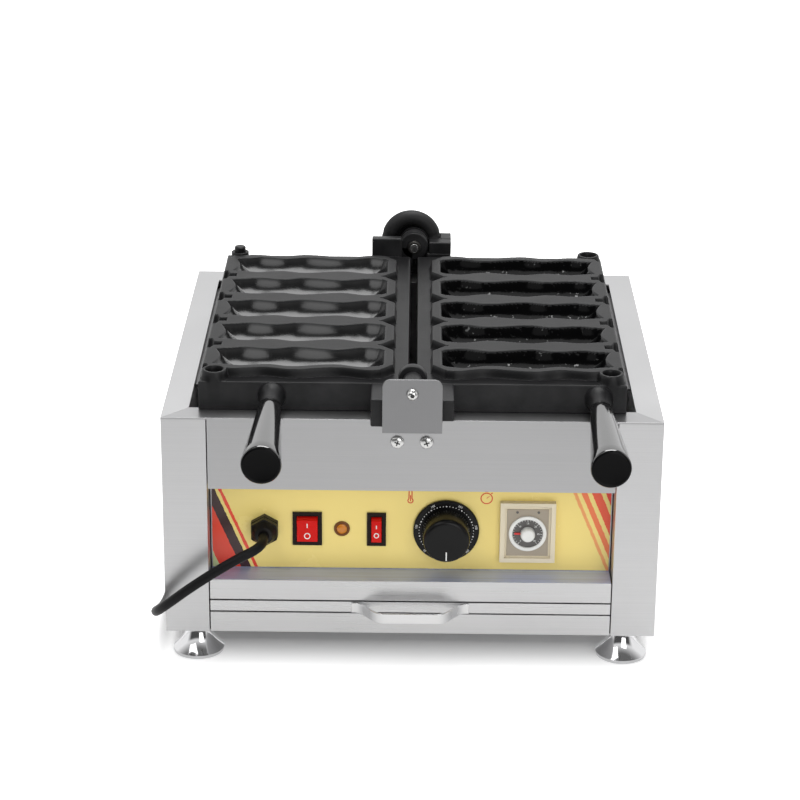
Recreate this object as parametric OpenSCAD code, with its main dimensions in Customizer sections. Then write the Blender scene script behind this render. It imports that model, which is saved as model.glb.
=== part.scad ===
/* [Housing] */
// Width over both side panels
body_w = 425; // [415:1:445]
// Depth from the front face to the back panel
body_d = 392; // [388:1:410]
// Height without the feet
body_h = 200; // [192:1:225]
// Thickness of the steel sheet
sheet = 1.5; // [1:0.1:2]
// Width of the front pillars
pillar_w = 38; // [34:1:42]
// Width of the top flange at the sides
flange_side = 22; // [16:1:24]
// Width of the top flange at the front
flange_front = 24; // [20:1:28]
// Width of the top flange at the rear
flange_rear = 28; // [26:1:32]
// Height of the apron above the control recess
apron_h = 65; // [55:1:68]
// Depth of the control recess
recess_d = 26; // [20:1:32]
// Height of the ledge under the controls above the housing's bottom
ledge_z = 50; // [46:1:54]
// Height of the ledge's front lip
lip_h = 19; // [16:0.5:19]
// Height of the bottom rail
rail_h = 19; // [16:0.5:19]
// Seam between neighbouring panels
seam = 0.9; // [0.4:0.1:1]
// Width of one rear vent slot
vent_w = 5; // [4.5:0.5:7]
// Length of one rear vent slot
vent_l = 60; // [30:5:70]

/* [Feet] */
// Height of the feet
foot_h = 30; // [24:1:36]
// Radius of a foot's base
foot_r = 22.4; // [18:0.2:24]
// Radius of a foot's neck
foot_neck_r = 9.5; // [8:0.1:11]
// Distance of a foot's centre from the housing's sides
foot_inset = 26; // [25:1:34]
// Radius of a foot's stud
foot_stud_r = 4; // [3:0.5:5]

/* [Plates] */
// Width of one mould plate
plate_w = 178.5; // [177:0.5:180]
// Space between the plates' rear face and the housing's rear face
plate_back = 24; // [23:0.5:25]
// Distance of the plates' front face from the housing's front face
plate_front = 20; // [19.5:0.5:22]
// Thickness of the slab under the raised rims
slab_t = 24.6; // [22:0.2:25]
// Gap between the plates along the hinge
plate_slot = 6.6; // [6:0.2:8]
// Height of the hinge axis above the top flange
pivot_rise = 32.7; // [32.5:0.1:34]
// Number of moulds in each plate
mould_n = 5; // [3:1:5]
// Space between the plates' front face and the first mould's middle
mould_front = 44; // [43:0.5:46]
// Space between the last mould's middle and the plates' rear face
mould_rear = 52; // [50:0.5:54]
// Length of a mould
mould_l = 147; // [140:1:148]
// Depth of a mould below the rims
mould_depth = 15; // [10:0.5:18]
// Width of the raised rim round a mould
rim_w = 8; // [6:0.5:9]
// Land between the hinge side of a plate and the rims
rim_inset = 13.3; // [12:0.1:14]
// Radius of a locating ring
ring_r = 10.5; // [9.5:0.5:11]
// Radius of the hole in a locating ring
ring_hole_r = 7.2; // [6.6:0.1:7.5]
// Radius of the locating peg
peg_r = 5.4; // [4:0.2:5.8]
// Height of the locating peg above the rims
peg_h = 5.2; // [4:0.2:6]

/* [Hinge] */
// Radius of the pivot bolts
pivot_r = 4; // [3:0.5:4.5]
// Reach of the front lugs ahead of the plates
lug_reach = 37.6; // [36:0.2:40]
// Distance of the lugs' outer side from the hinge axis
lug_out = 35; // [30:1:40]
// Distance of the lugs' inner side from the hinge axis
lug_in = 12; // [11.8:0.1:14]
// Radius of the slim front knuckle
knuckle_r = 8.2; // [7.5:0.1:9.5]
// Radius of the front disc knuckle
disc_r = 12.2; // [10:0.1:12.4]
// Radius of the rear knuckles
rear_knuckle_r = 13.4; // [10:0.1:13.7]
// Width of the front hinge bracket
bracket_w = 50; // [40:1:56]
// Thickness of the front hinge bracket
bracket_t = 2; // [1.5:0.5:3]
// Height of the bracket's tab above the hinge axis
tab_rise = 12.9; // [11:0.1:14]
// Distance of the bracket's screws from the middle
bracket_screw_x = 12.4; // [10:0.2:16]
// Radius of the rear bearing boss
bearing_r = 14; // [12:0.5:14]
// Depth of the rear bearing behind the housing
bearing_d = 19; // [17:1:22]
// Radius of the lead sleeve
sleeve_r = 7.2; // [6:0.1:7.2]
// Radius of the lead sleeve's arch
sleeve_arch_r = 21.8; // [21.5:0.1:24]

/* [Handles] */
// Distance of the left handle from the hinge axis
handle_left_x = 119.5; // [110:0.5:130]
// Distance of the right handle from the hinge axis
handle_right_x = 158; // [150:0.5:162]
// Length of the grips
grip_l = 127; // [110:1:140]
// Radius of a grip at the boss
grip_r1 = 9.4; // [8.5:0.1:10]
// Radius of a grip at its end
grip_r2 = 16.5; // [14:0.5:18]
// Length of the boss that holds a grip
boss_l = 26; // [20:1:30]

/* [Crumb tray] */
// Gap between the tray's front and the pillars
tray_gap = 1; // [0.8:0.1:3]
// Height of the tray's front
tray_h = 10; // [9:0.5:10.5]
// Space between the tray's end and the housing's rear face
tray_back = 47; // [44:1:90]
// Width of the tray's handle
pull_w = 102; // [90:1:120]
// Reach of the tray's handle
pull_reach = 23; // [20:1:28]

/* [Controls] */
// Height of the controls above the housing's bottom
control_z = 88; // [86:1:90]
// Place of the cord gland across the panel
gland_x = -127; // [-132:1:-122]
// Place of the power switch
power_x = -90; // [-94:1:-87]
// Place of the indicator lamp
lamp_x = -60; // [-64:1:-56]
// Place of the alarm switch
alarm_x = -30; // [-34:1:-26]
// Place of the thermostat dial
dial_x = 30.5; // [26:0.5:34]
// Place of the timer
timer_x = 101; // [96:1:106]
// Width of the power switch's bezel
power_w = 25.5; // [24:0.5:27]
// Width of the alarm switch's bezel
alarm_w = 16.5; // [15.5:0.5:18]
// Height of both switch bezels
switch_h = 31; // [30:0.5:33]
// Radius of the indicator lamp's bezel
lamp_r = 7; // [6:0.5:9]
// Radius of the dial's skirt
dial_r = 28.7; // [26:0.1:30]
// Radius of the dial's knob
dial_knob_r = 21.3; // [18:0.1:23]
// Reach of the dial's knob from the panel
dial_reach = 27; // [22:1:30]
// Width of the timer's bezel
timer_w = 48; // [46:1:52]
// Height of the timer's bezel
timer_h = 56; // [54:1:60]
// Radius of the timer's knob
timer_knob_r = 6.3; // [5:0.1:8]
// Radius of the gland's nut over its corners
gland_r = 13.4; // [12:0.1:14]

/* [Cord] */
// Diameter of the cord
cord_dia = 8.5; // [8.5:0.1:8.6]

/* [Hidden] */
$fn = 48;

// Fits and clearances
run_fit = 0.08;
gap = 0.4;
mate_gap = 0.15;
hole_fit = 0.25;

// Heights, measured from the surface that the feet stand on
z0 = foot_h;
top_z = z0 + body_h;
pivot_z = top_z + pivot_rise;
slab_z = top_z + gap;
slab_top = slab_z + slab_t;
rim_top = pivot_z - mate_gap;
apron_z = top_z - apron_h;
ctrl_z = z0 + control_z;

// Places across and along
half_w = body_w / 2;
pillar_x = half_w - pillar_w;
panel_x = pillar_x - seam;
plate_in = plate_slot / 2;
plate_out = plate_in + plate_w;
plate_rear = body_d - plate_back;
plate_d = plate_rear - plate_front;
plate_mid = plate_front + plate_d / 2;
mould_pitch = (plate_d - mould_front - mould_rear) / (mould_n - 1);
tray_w = 2 * (pillar_x - tray_gap);
tray_d = body_d - tray_back;
grip_end = plate_front - boss_l - grip_l;
bolt_head_h = 4.5;
nut_h = 5;
rear_end = body_d + bearing_d + bolt_head_h;

// The origin is the middle of the footprint, cord left out
y_shift = -(grip_end + rear_end) / 2;

module placed() translate([0, y_shift, 0]) children();
// A block between two corners
module block(a, b) translate(a) cube(b - a);
// A bar with a round section along Y, from y1 to y2
module bar_y(x, z, y1, y2, r) translate([x, y1, z]) rotate([-90, 0, 0]) cylinder(h = y2 - y1, r = r);
// A tapered bar along Y
module cone_y(x, z, y1, y2, r1, r2)
    translate([x, y1, z]) rotate([-90, 0, 0]) cylinder(h = y2 - y1, r1 = r1, r2 = r2);
// A six-sided bar along Y, with its radius over the corners
module hex_y(x, z, y1, y2, r)
    translate([x, y1, z]) rotate([-90, 0, 0]) cylinder(h = y2 - y1, r = r, $fn = 6);
// An outline drawn in X and Z, standing between y1 and y2
module slab_y(y1, y2) translate([0, y2, 0]) rotate([90, 0, 0]) linear_extrude(y2 - y1) children();
module mirrored(side) mirror([side < 0 ? 1 : 0, 0, 0]) children();

// Panels
// A side panel: the wall, its fold round the front pillar and the top flange, mitred at both ends
module side_panel(side) color("gainsboro") placed() mirrored(side) {
    block([half_w - sheet, 0, z0], [half_w, body_d, top_z - sheet]);
    block([pillar_x, 0, z0], [half_w - sheet, sheet, top_z - sheet]);
    block([pillar_x, sheet, z0 + sheet], [pillar_x + sheet, recess_d + sheet, top_z - sheet]);
    translate([0, 0, top_z - sheet]) linear_extrude(sheet)
        polygon([[half_w, 0], [half_w, body_d], [half_w - flange_side, body_d - flange_rear],
                 [half_w - flange_side, flange_front]]);
}
module side_panel_left() side_panel(-1);
module side_panel_right() side_panel(1);

// The apron over the recess, with the front top flange and the notch for the bracket
module front_apron() color("gainsboro") placed() difference() {
    union() {
        block([-panel_x, 0, apron_z], [panel_x, sheet, top_z - sheet]);
        block([-panel_x, sheet, apron_z], [panel_x, recess_d, apron_z + sheet]);
        translate([0, 0, top_z - sheet]) linear_extrude(sheet)
            polygon([[-half_w, 0], [half_w, 0], [half_w - flange_side, flange_front],
                     [-half_w + flange_side, flange_front]]);
    }
    block([-bracket_w / 2 - gap, -1, top_z - bracket_t - gap],
          [bracket_w / 2 + gap, sheet + bracket_t + gap, top_z + 1]);
    for (s = [-1, 1]) bar_y(s * bracket_screw_x, screw_z, -1, sheet + 1, screw_r + hole_fit);
}

// Cut-outs that the panel and its overlay share
module control_cuts(y1, y2) {
    bar_y(gland_x, ctrl_z, y1, y2, gland_thread_r + hole_fit);
    for (s = [[power_x, power_w], [alarm_x, alarm_w]])
        block([s[0] - s[1] / 2 + switch_rim - hole_fit, y1, ctrl_z - switch_body_h / 2 - hole_fit],
              [s[0] + s[1] / 2 - switch_rim + hole_fit, y2, ctrl_z + switch_body_h / 2 + hole_fit]);
    bar_y(lamp_x, ctrl_z, y1, y2, lamp_body_r + hole_fit);
    bar_y(dial_x, ctrl_z, y1, y2, spindle_r + 2);
    block([timer_x - timer_w / 2 + timer_rim - hole_fit, y1,
           ctrl_z - timer_h / 2 + timer_rim - hole_fit],
          [timer_x + timer_w / 2 - timer_rim + hole_fit, y2,
           ctrl_z + timer_h / 2 - timer_rim + hole_fit]);
}
overlay_t = 0.6;
panel_front = recess_d;
panel_back = recess_d + sheet;
face_y = recess_d - overlay_t;
panel_top = apron_z + 15;
switch_rim = 2.2;
switch_body_h = switch_h - 4;
lamp_body_r = lamp_r - 1.5;
spindle_r = 3;
timer_rim = 3;
gland_thread_r = 8;

module control_panel() color("silver") placed() difference() {
    block([-panel_x, panel_front, z0 + ledge_z], [panel_x, panel_back, panel_top]);
    control_cuts(panel_front - 1, panel_back + 1);
}
module panel_overlay() color("khaki") placed() difference() {
    block([-panel_x + 1, face_y, z0 + ledge_z + 0.6], [panel_x - 1, panel_front, apron_z - 0.6]);
    control_cuts(face_y - 1, panel_front + 1);
}

// The horizontal ledge under the controls, with its front lip
module ledge() color("gainsboro") placed() {
    block([-panel_x, 0, z0 + ledge_z - sheet], [panel_x, panel_back, z0 + ledge_z]);
    block([-panel_x, 0, z0 + ledge_z - lip_h], [panel_x, sheet, z0 + ledge_z - sheet]);
}
module bottom_rail() color("gainsboro") placed() {
    block([-panel_x, 0, z0], [panel_x, sheet, z0 + rail_h]);
    block([-panel_x, sheet, z0 + rail_h - sheet], [panel_x, rail_fold, z0 + rail_h]);
}
rail_fold = 14;

foot_places = [[-1, foot_inset], [1, foot_inset], [-1, body_d - foot_inset],
               [1, body_d - foot_inset]];
module base_plate() color("silver") placed() difference() {
    block([-half_w + sheet, sheet, z0], [half_w - sheet, body_d - sheet, z0 + sheet]);
    for (f = foot_places) translate([f[0] * (half_w - foot_inset), f[1], z0 - 1])
        cylinder(h = sheet + 2, r = foot_stud_r + run_fit);
}

// The back panel, with two rows of vents and the rear top flange
module back_panel() color("gainsboro") placed() difference() {
    union() {
        block([-half_w + sheet, body_d - sheet, z0], [half_w - sheet, body_d, top_z - sheet]);
        translate([0, 0, top_z - sheet]) linear_extrude(sheet)
            polygon([[-half_w, body_d], [half_w, body_d],
                     [half_w - flange_side, body_d - flange_rear],
                     [-half_w + flange_side, body_d - flange_rear]]);
    }
    for (s = [-1, 1], i = [0:vent_n - 1])
        translate([s * (vent_x + i * vent_pitch), body_d + 1, z0 + vent_z]) rotate([90, 0, 0])
            linear_extrude(sheet + 2) {
                translate([-vent_w / 2, 0]) square([vent_w, vent_l]);
                circle(r = vent_w / 2);
                translate([0, vent_l]) circle(r = vent_w / 2);
            }
    for (s = [-1, 1], z = [0, bearing_screw_dz])
        bar_y(s * bearing_screw_x, bearing_screw_z - z, body_d - sheet - 1, body_d + 1,
              screw_r + hole_fit);
}
vent_n = 6;
vent_x = 70;
vent_pitch = 18;
vent_z = 60;

// The closed box round the electrics, which keeps crumbs and heat from them
shield_y = 90;
shield_rise = 33;
shield_drop = 48;
shield_floor = z0 + shield_rise;
shield_top = top_z - shield_drop;
module inner_shield() color("silver") placed() {
    in_x = half_w - sheet;
    block([-in_x, panel_back, shield_floor], [in_x, shield_y, shield_floor + sheet]);
    block([-in_x, shield_y - sheet, shield_floor + sheet], [in_x, shield_y, shield_top - sheet]);
    block([-in_x, panel_back, shield_top - sheet], [in_x, shield_y, shield_top]);
}

// Rails along the side walls, with the studs that the open plates rest on
rest_depth = 10;
rest_stud_r = 5;
rest_reach = 12;
module plate_rests() color("silver") placed() for (s = [-1, 1]) mirrored(s) {
    block([half_w - sheet - 2, shield_y + 10, top_z - rest_depth - 20],
          [half_w - sheet, body_d - 30, top_z - rest_depth]);
    difference() {
        block([plate_out - rest_reach, shield_y + 10, top_z - rest_depth],
              [half_w - sheet, body_d - 30, top_z - rest_depth + 2]);
        for (y = rest_ys) translate([plate_out - rest_stud_r - 1, y, top_z - rest_depth - 1])
            cylinder(h = 4, r = rest_stud_r / 2);
    }
    for (y = rest_ys) translate([plate_out - rest_stud_r - 1, y, 0]) {
        translate([0, 0, top_z - rest_depth]) cylinder(h = 2, r = rest_stud_r / 2);
        translate([0, 0, top_z - rest_depth + 2])
            cylinder(h = rest_depth - 2 + gap - 0.3, r = rest_stud_r);
    }
}
rest_ys = [shield_y + 30, body_d - 50];

// Angles that carry the crumb tray
tray_z = z0 + rail_h + (ledge_z - lip_h - rail_h - tray_h) / 2;
tray_in_x = tray_w / 2 - 6;
tray_lift = 1;
runner_gap = 0.3;
runner_shelf = 8;
runner_y = rail_fold + 2;
runner_back = body_d - tray_back + 5;
module tray_runners() color("silver") placed() for (s = [-1, 1]) mirrored(s) {
    x1 = tray_in_x + runner_gap;
    shelf_z = tray_z + tray_lift - runner_gap;
    block([x1, runner_y, z0 + sheet], [x1 + sheet, runner_back, tray_z + tray_h]);
    block([x1 - runner_shelf, runner_y, shelf_z - sheet], [x1, runner_back, shelf_z]);
    block([x1 + sheet, runner_y, z0 + sheet], [pillar_x - seam, runner_back, z0 + 2 * sheet]);
}

// Front hinge
screw_r = 3;
screw_head_r = 6;
screw_head_h = 3.2;
screw_nut_h = 5;
screw_z = top_z - 20;
tab_y = plate_front - lug_reach - 5.4;
tab_back = tab_y;
tab_front = tab_y - bracket_t;
leg_h = 40;
module front_hinge_bracket() color("silver") placed() difference() {
    union() {
        slab_y(tab_front, tab_back) difference() {
            translate([-bracket_w / 2, top_z - bracket_t])
                square([bracket_w, pivot_z + tab_rise - top_z + bracket_t]);
            for (s = [-1, 1]) translate([s * (bracket_w / 2 - tab_corner),
                                         pivot_z + tab_rise - tab_corner])
                difference() {
                    translate([s > 0 ? 0 : -tab_corner - 1, 0])
                        square([tab_corner + 1, tab_corner + 1]);
                    circle(r = tab_corner);
                }
        }
        block([-bracket_w / 2, tab_back, top_z - bracket_t],
              [bracket_w / 2, sheet + bracket_t, top_z]);
        block([-bracket_w / 2, sheet, top_z - leg_h],
              [bracket_w / 2, sheet + bracket_t, top_z - bracket_t]);
    }
    bar_y(0, pivot_z, tab_front - 1, tab_back + 1, pivot_r + run_fit);
    for (s = [-1, 1]) bar_y(s * bracket_screw_x, screw_z, 0, sheet + bracket_t + 1,
                            screw_r + hole_fit);
}
tab_corner = 7;

// Pan-head screws with their nuts
module bracket_screws() color("silver") placed() for (s = [-1, 1]) {
    x = s * bracket_screw_x;
    back = sheet + bracket_t;
    cone_y(x, screw_z, -screw_head_h, -screw_head_h / 2, screw_head_r - 1.6, screw_head_r);
    bar_y(x, screw_z, -screw_head_h / 2, 0, screw_head_r);
    bar_y(x, screw_z, 0, back + screw_nut_h + 1, screw_r);
    difference() {
        hex_y(x, screw_z, back, back + screw_nut_h, screw_head_r);
        bar_y(x, screw_z, back - 1, back + screw_nut_h + 1, screw_r);
    }
}

nut_r = 6.4;
front_nut_y = tab_back + nut_h;
front_head_r = 5.6;
rear_head_r = 6.5;
clip_r = 6;
slim_y = [plate_front - lug_reach, plate_front - 11.2];
disc_y = [slim_y[1] + gap, plate_front - 2.6];
module front_pivot_bolt() color("silver") placed() {
    hex_y(0, pivot_z, tab_front - bolt_head_h, tab_front, front_head_r);
    bar_y(0, pivot_z, tab_front, plate_front - 0.6, pivot_r);
}
module front_pivot_nut() color("dimgray") placed() {
    difference() {
        hex_y(0, pivot_z, tab_back, front_nut_y, nut_r);
        bar_y(0, pivot_z, tab_back - 1, front_nut_y + 1, pivot_r);
    }
    difference() {
        bar_y(0, pivot_z, disc_y[1] + gap, plate_front - 1, clip_r);
        bar_y(0, pivot_z, disc_y[1], plate_front, pivot_r);
    }
}

// Rear hinge
bearing_y = body_d + 0.6;
bearing_back = body_d + bearing_d;
bearing_top = pivot_z + 3.3;
bearing_low = top_z - 80;
bearing_half_w = 36;
bearing_thread = 12;
bearing_screw_x = 24;
bearing_screw_z = top_z - 15;
bearing_screw_dz = 50;
rear_disc_w = 7.2;
rear_slim_w = 7.6;
rear_disc_y = [bearing_y - gap - rear_disc_w, bearing_y - gap];
rear_slim_y = [rear_disc_y[0] - gap - rear_slim_w, rear_disc_y[0] - gap];
rear_nut_y = rear_slim_y[0] - gap - nut_h;
module rear_bearing() color("#2a2a2a") placed() difference() {
    union() {
        block([-bearing_half_w, body_d, bearing_low],
              [bearing_half_w, bearing_back, top_z - 3]);
        block([-bearing_half_w, bearing_y, top_z - 3], [bearing_r, bearing_back, pivot_z - 5]);
        block([bearing_r - 1, bearing_y, top_z - 3], [bearing_half_w, bearing_back, bearing_top]);
        bar_y(0, pivot_z, bearing_y, sleeve_y - sleeve_r - gap, bearing_r);
        bar_y(0, pivot_z, bearing_y, bearing_back,
              sleeve_arch_r + sleeve_dx - sleeve_r - gap);
        bar_y(0, pivot_z, sleeve_y + sleeve_r + gap, bearing_back, rear_lip_r);
        block([-sleeve_x_reach, sleeve_y - sleeve_r - 1, pivot_z - 5],
              [-bearing_r + 1, bearing_back, pivot_z]);
    }
    bar_y(0, pivot_z, body_d - 1, bearing_back + 1, pivot_r + run_fit);
    // The pocket for the lead sleeve's right foot
    translate([sleeve_dx + sleeve_arch_r - sleeve_r - gap / 2, sleeve_y - sleeve_r - gap / 2, pivot_z])
        cube([2 * sleeve_r + gap, 2 * sleeve_r + gap, bearing_r]);
    for (s = [-1, 1], z = [0, bearing_screw_dz])
        bar_y(s * bearing_screw_x, bearing_screw_z - z, body_d - 1, body_d + bearing_thread,
              screw_r + run_fit);
}
sleeve_dx = -3;
rear_lip_r = 20;
sleeve_x_reach = sleeve_arch_r + sleeve_r + 3;
sleeve_y = bearing_y + 2.6 + sleeve_r;
module bearing_screws() color("silver") placed() for (s = [-1, 1], z = [0, bearing_screw_dz]) {
    hex_y(s * bearing_screw_x, bearing_screw_z - z, body_d - sheet - 4, body_d - sheet,
          screw_head_r);
    bar_y(s * bearing_screw_x, bearing_screw_z - z, body_d - sheet, body_d + bearing_thread - 1,
          screw_r);
}
module rear_pivot_bolt() color("silver") placed() {
    hex_y(0, pivot_z, bearing_back, rear_end, rear_head_r);
    bar_y(0, pivot_z, rear_nut_y - 1.5, bearing_back, pivot_r);
}
module rear_pivot_nut() color("dimgray") placed() difference() {
    bar_y(0, pivot_z, rear_nut_y, rear_nut_y + nut_h, nut_r);
    bar_y(0, pivot_z, rear_nut_y - 1, rear_nut_y + nut_h + 1, pivot_r);
}
// The sleeve that takes the heater leads over the hinge
module lead_sleeve() color("#303030") placed()
    translate([sleeve_dx, sleeve_y, pivot_z]) rotate([-90, 0, 0])
        rotate_extrude(angle = -180) translate([sleeve_arch_r, 0]) circle(r = sleeve_r);

// Feet
// A foot is a bell with a waist, turned about its stud
function bell_r(t) = foot_neck_r + (foot_r - foot_neck_r) * pow(1 - t, 2.3);
module foot(i) color("silver") placed()
    translate([foot_places[i][0] * (half_w - foot_inset), foot_places[i][1], 0]) {
        rotate_extrude() polygon(concat(
            [[0, 0], [foot_r - 1.2, 0], [foot_r, 1.2]],
            [for (k = [0:12]) [bell_r(k / 12), 3.5 + (foot_h - 3.5) * k / 12]],
            [[0, foot_h]]));
        translate([0, 0, foot_h]) cylinder(h = sheet + 9, r = foot_stud_r);
        translate([0, 0, foot_h + sheet]) difference() {
            cylinder(h = 6, r = 2 * foot_stud_r, $fn = 6);
            translate([0, 0, -1]) cylinder(h = 8, r = foot_stud_r);
        }
    }
module foot_front_left() foot(0);
module foot_front_right() foot(1);
module foot_rear_left() foot(2);
module foot_rear_right() foot(3);

// Switches
rocker_r = switch_body_h / 2 - 1.8;
rocker_y = face_y - 1;
rocker_tilt = 9;
bezel_t = 2;
// A switch frame: a bezel on the overlay and a box behind it, closed at the back
module switch_frame(x, w) placed() difference() {
    bw = w - 2 * switch_rim;
    union() {
        block([x - w / 2, face_y - bezel_t, ctrl_z - switch_h / 2],
              [x + w / 2, face_y, ctrl_z + switch_h / 2]);
        block([x - bw / 2, face_y, ctrl_z - switch_body_h / 2],
              [x + bw / 2, face_y + 24, ctrl_z + switch_body_h / 2]);
    }
    block([x - bw / 2 + 1.2, face_y - bezel_t - 1, ctrl_z - rocker_r - gap],
          [x + bw / 2 - 1.2, face_y + rocker_r + 2, ctrl_z + rocker_r + gap]);
}
// The pins that a rocker turns on are part of the frame
module switch_pins(x, w) placed() {
    bw = w - 2 * switch_rim;
    for (s = [-1, 1]) translate([x + s * (bw / 2 - 1.2) - (s > 0 ? 1.5 : 0), rocker_y, ctrl_z])
        rotate([0, 90, 0]) cylinder(h = 1.5, r = 1.5);
}
// A rocker: a drum slice with a shallow V for its face, tilted to the off side
module rocker(x, w) placed() {
    rw = w - 2 * switch_rim - 2.4 - 2 * gap;
    translate([x - rw / 2, rocker_y, ctrl_z]) rotate([rocker_tilt, 0, 0]) rotate([90, 0, 90])
        difference() {
            intersection() {
                cylinder(h = rw, r = rocker_r);
                linear_extrude(rw) polygon([[-5, -rocker_r], [7, -rocker_r], [7, rocker_r],
                                            [-5, rocker_r], [-2.6, 0]]);
            }
            for (z = [-1, rw - 1.5]) translate([0, 0, z]) cylinder(h = 2.5, r = 1.5 + run_fit);
        }
}
module power_switch_frame() color("#2b1a16") {
    switch_frame(power_x, power_w);
    switch_pins(power_x, power_w);
}
module alarm_switch_frame() color("#2b1a16") {
    switch_frame(alarm_x, alarm_w);
    switch_pins(alarm_x, alarm_w);
}
module power_rocker() color("crimson") rocker(power_x, power_w);
module alarm_rocker() color("crimson") rocker(alarm_x, alarm_w);

// Lamp
module lamp_bezel() color("darkgoldenrod") placed() difference() {
    union() {
        bar_y(lamp_x, ctrl_z, face_y - 1.5, face_y, lamp_r);
        bar_y(lamp_x, ctrl_z, face_y, face_y + 20, lamp_body_r);
    }
    bar_y(lamp_x, ctrl_z, face_y - 2, face_y + 12, lamp_body_r - 0.8);
}
module lamp_lens() color("orange") placed() {
    bar_y(lamp_x, ctrl_z, face_y - 1.5, face_y + 11.9, lamp_body_r - 0.9);
    translate([lamp_x, face_y - 1.5, ctrl_z]) rotate([90, 0, 0]) rotate_extrude()
        intersection() {
            translate([0, -lamp_body_r]) circle(r = 2 * lamp_body_r - 3);
            square([lamp_body_r - 0.9, lamp_r]);
        }
}

// Thermostat
module thermostat() color("dimgray") placed() difference() {
    union() {
        block([dial_x - 16, panel_back, ctrl_z - 18], [dial_x + 16, panel_back + 24, ctrl_z + 18]);
        bar_y(dial_x, ctrl_z, panel_front, panel_back, spindle_r + 1.8);
    }
    bar_y(dial_x, ctrl_z, panel_front - 1, panel_back + 16, spindle_r + run_fit);
}
// The knob: a printed skirt, a tall grip with a pointed side, and its spindle
skirt_t = 3;
module thermostat_knob() color("#1c1c1c") placed() {
    skirt_back = face_y - 1;
    bar_y(dial_x, ctrl_z, skirt_back - skirt_t, skirt_back, dial_r);
    cone_y(dial_x, ctrl_z, face_y - dial_reach, face_y - dial_reach + 2,
           dial_knob_r - 3.4, dial_knob_r - 2);
    cone_y(dial_x, ctrl_z, face_y - dial_reach + 2, skirt_back - skirt_t,
           dial_knob_r - 2, dial_knob_r);
    bar_y(dial_x, ctrl_z, skirt_back, panel_back + 14, spindle_r);
}

// Timer
module timer_case() color("wheat") placed() difference() {
    union() {
        block([timer_x - timer_w / 2, face_y - 6, ctrl_z - timer_h / 2],
              [timer_x + timer_w / 2, face_y, ctrl_z + timer_h / 2]);
        block([timer_x - timer_w / 2 + timer_rim, face_y, ctrl_z - timer_h / 2 + timer_rim],
              [timer_x + timer_w / 2 - timer_rim, face_y + timer_depth,
               ctrl_z + timer_h / 2 - timer_rim]);
    }
    block([timer_x - timer_w / 2 + 4, face_y - 7, ctrl_z - timer_h / 2 + 4],
          [timer_x + timer_w / 2 - 4, face_y - 3, ctrl_z + timer_h / 2 - 4]);
    bar_y(timer_x, ctrl_z + timer_dz, face_y - 7, face_y + 12, 2 + run_fit);
}
timer_dz = -1;
timer_depth = 50;
module timer_knob() color("white") placed() {
    bar_y(timer_x, ctrl_z + timer_dz, face_y - 11, face_y - 3 - gap, timer_knob_r);
    bar_y(timer_x, ctrl_z + timer_dz, face_y - 3 - gap, face_y + 10, 2);
}

// Electrics on the floor of the shield, each by its corner or centre and its size
electrics_z = shield_floor + sheet;
buzzer_place = [-20, 70];
buzzer_r = 11;
relay_place = [20, 62];
relay_size = [40, 24, 30];
terminal_place = [-150, 60];
terminal_size = [60, 20, 16];
terminal_n = 5;
module buzzer() color("black") placed() translate(concat(buzzer_place, electrics_z))
    cylinder(h = buzzer_r - 1, r = buzzer_r);
module relay() color("white") placed() translate(concat(relay_place, electrics_z))
    cube(relay_size);
module terminal_block() color("ivory") placed()
    translate(concat(terminal_place, electrics_z)) difference() {
        cube(terminal_size);
        for (i = [0:terminal_n - 1])
            translate([terminal_size[0] * (i + 0.5) / terminal_n, terminal_size[1] / 2,
                       terminal_size[2] / 2])
                cylinder(h = terminal_size[2], r = 2.5);
    }

// Cord gland
gland_mouth = 7;
module cord_gland() color("#1e1a18") placed() {
    difference() {
        union() {
            hex_y(gland_x, ctrl_z, face_y - 6, face_y, gland_r);
            bar_y(gland_x, ctrl_z, face_y, panel_back + 10, gland_thread_r);
        }
        bar_y(gland_x, ctrl_z, face_y - 7, panel_back + 11, cord_dia / 2 + 0.8);
    }
    difference() {
        hex_y(gland_x, ctrl_z, panel_back, panel_back + 5, gland_r);
        bar_y(gland_x, ctrl_z, panel_back - 1, panel_back + 6, gland_thread_r);
    }
}
module gland_nut() color("#1e1a18") placed() difference() {
    union() {
        hex_y(gland_x, ctrl_z, face_y - 12, face_y - 6, gland_r - 0.4);
        cone_y(gland_x, ctrl_z, gland_mouth, face_y - 12, 8, gland_r - 2.6);
    }
    bar_y(gland_x, ctrl_z, gland_mouth - 1, face_y, cord_dia / 2 + 0.2);
}

// Cord
cord_r = cord_dia / 2;
// The free stretch from the gland round the left front corner and down to the table
run_points = [
    [-127, 7, 118], [-127, -3, 118], [-128.5, -11, 117.6], [-133.5, -18, 116], [-145.5, -22.5, 111],
    [-165, -25, 99.6], [-188.5, -24.5, 82.8], [-206, -20, 67.4], [-215.5, -12, 57], [-220, -1, 49.5],
    [-222, 12, 43], [-222, 28, 36.5], [-222, 48, 28.5], [-222, 72, 19.8],
    [-222, 96, 12.6], [-222, 120, 7.5], [-222, 146, 5], [-222, 172, 4.6], [-222, 210, 4.6],
    [-222, 260, 4.6], [-222, 310, 4.6], [-222, 360, 4.6], [-222, 405, 4.8], [-222, 430, 5.3],
    [-222, 448, 5.5], [-222, 458, 5.5]];
coil_turns = 3.25;
coil_in_r = 39;
coil_pitch = 9;
coil_z = 5.5;
coil_layer = 9;
coil_out_r = coil_in_r + coil_pitch * coil_turns / 2;
coil_x = -222 + coil_out_r;
coil_y = 458;
tail_z = coil_z + coil_layer;
plug_z = 19.2;
plug_dx = 86;
plug_r = 19;
plug_l = 34;
tail_y = coil_y + coil_out_r;
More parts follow.
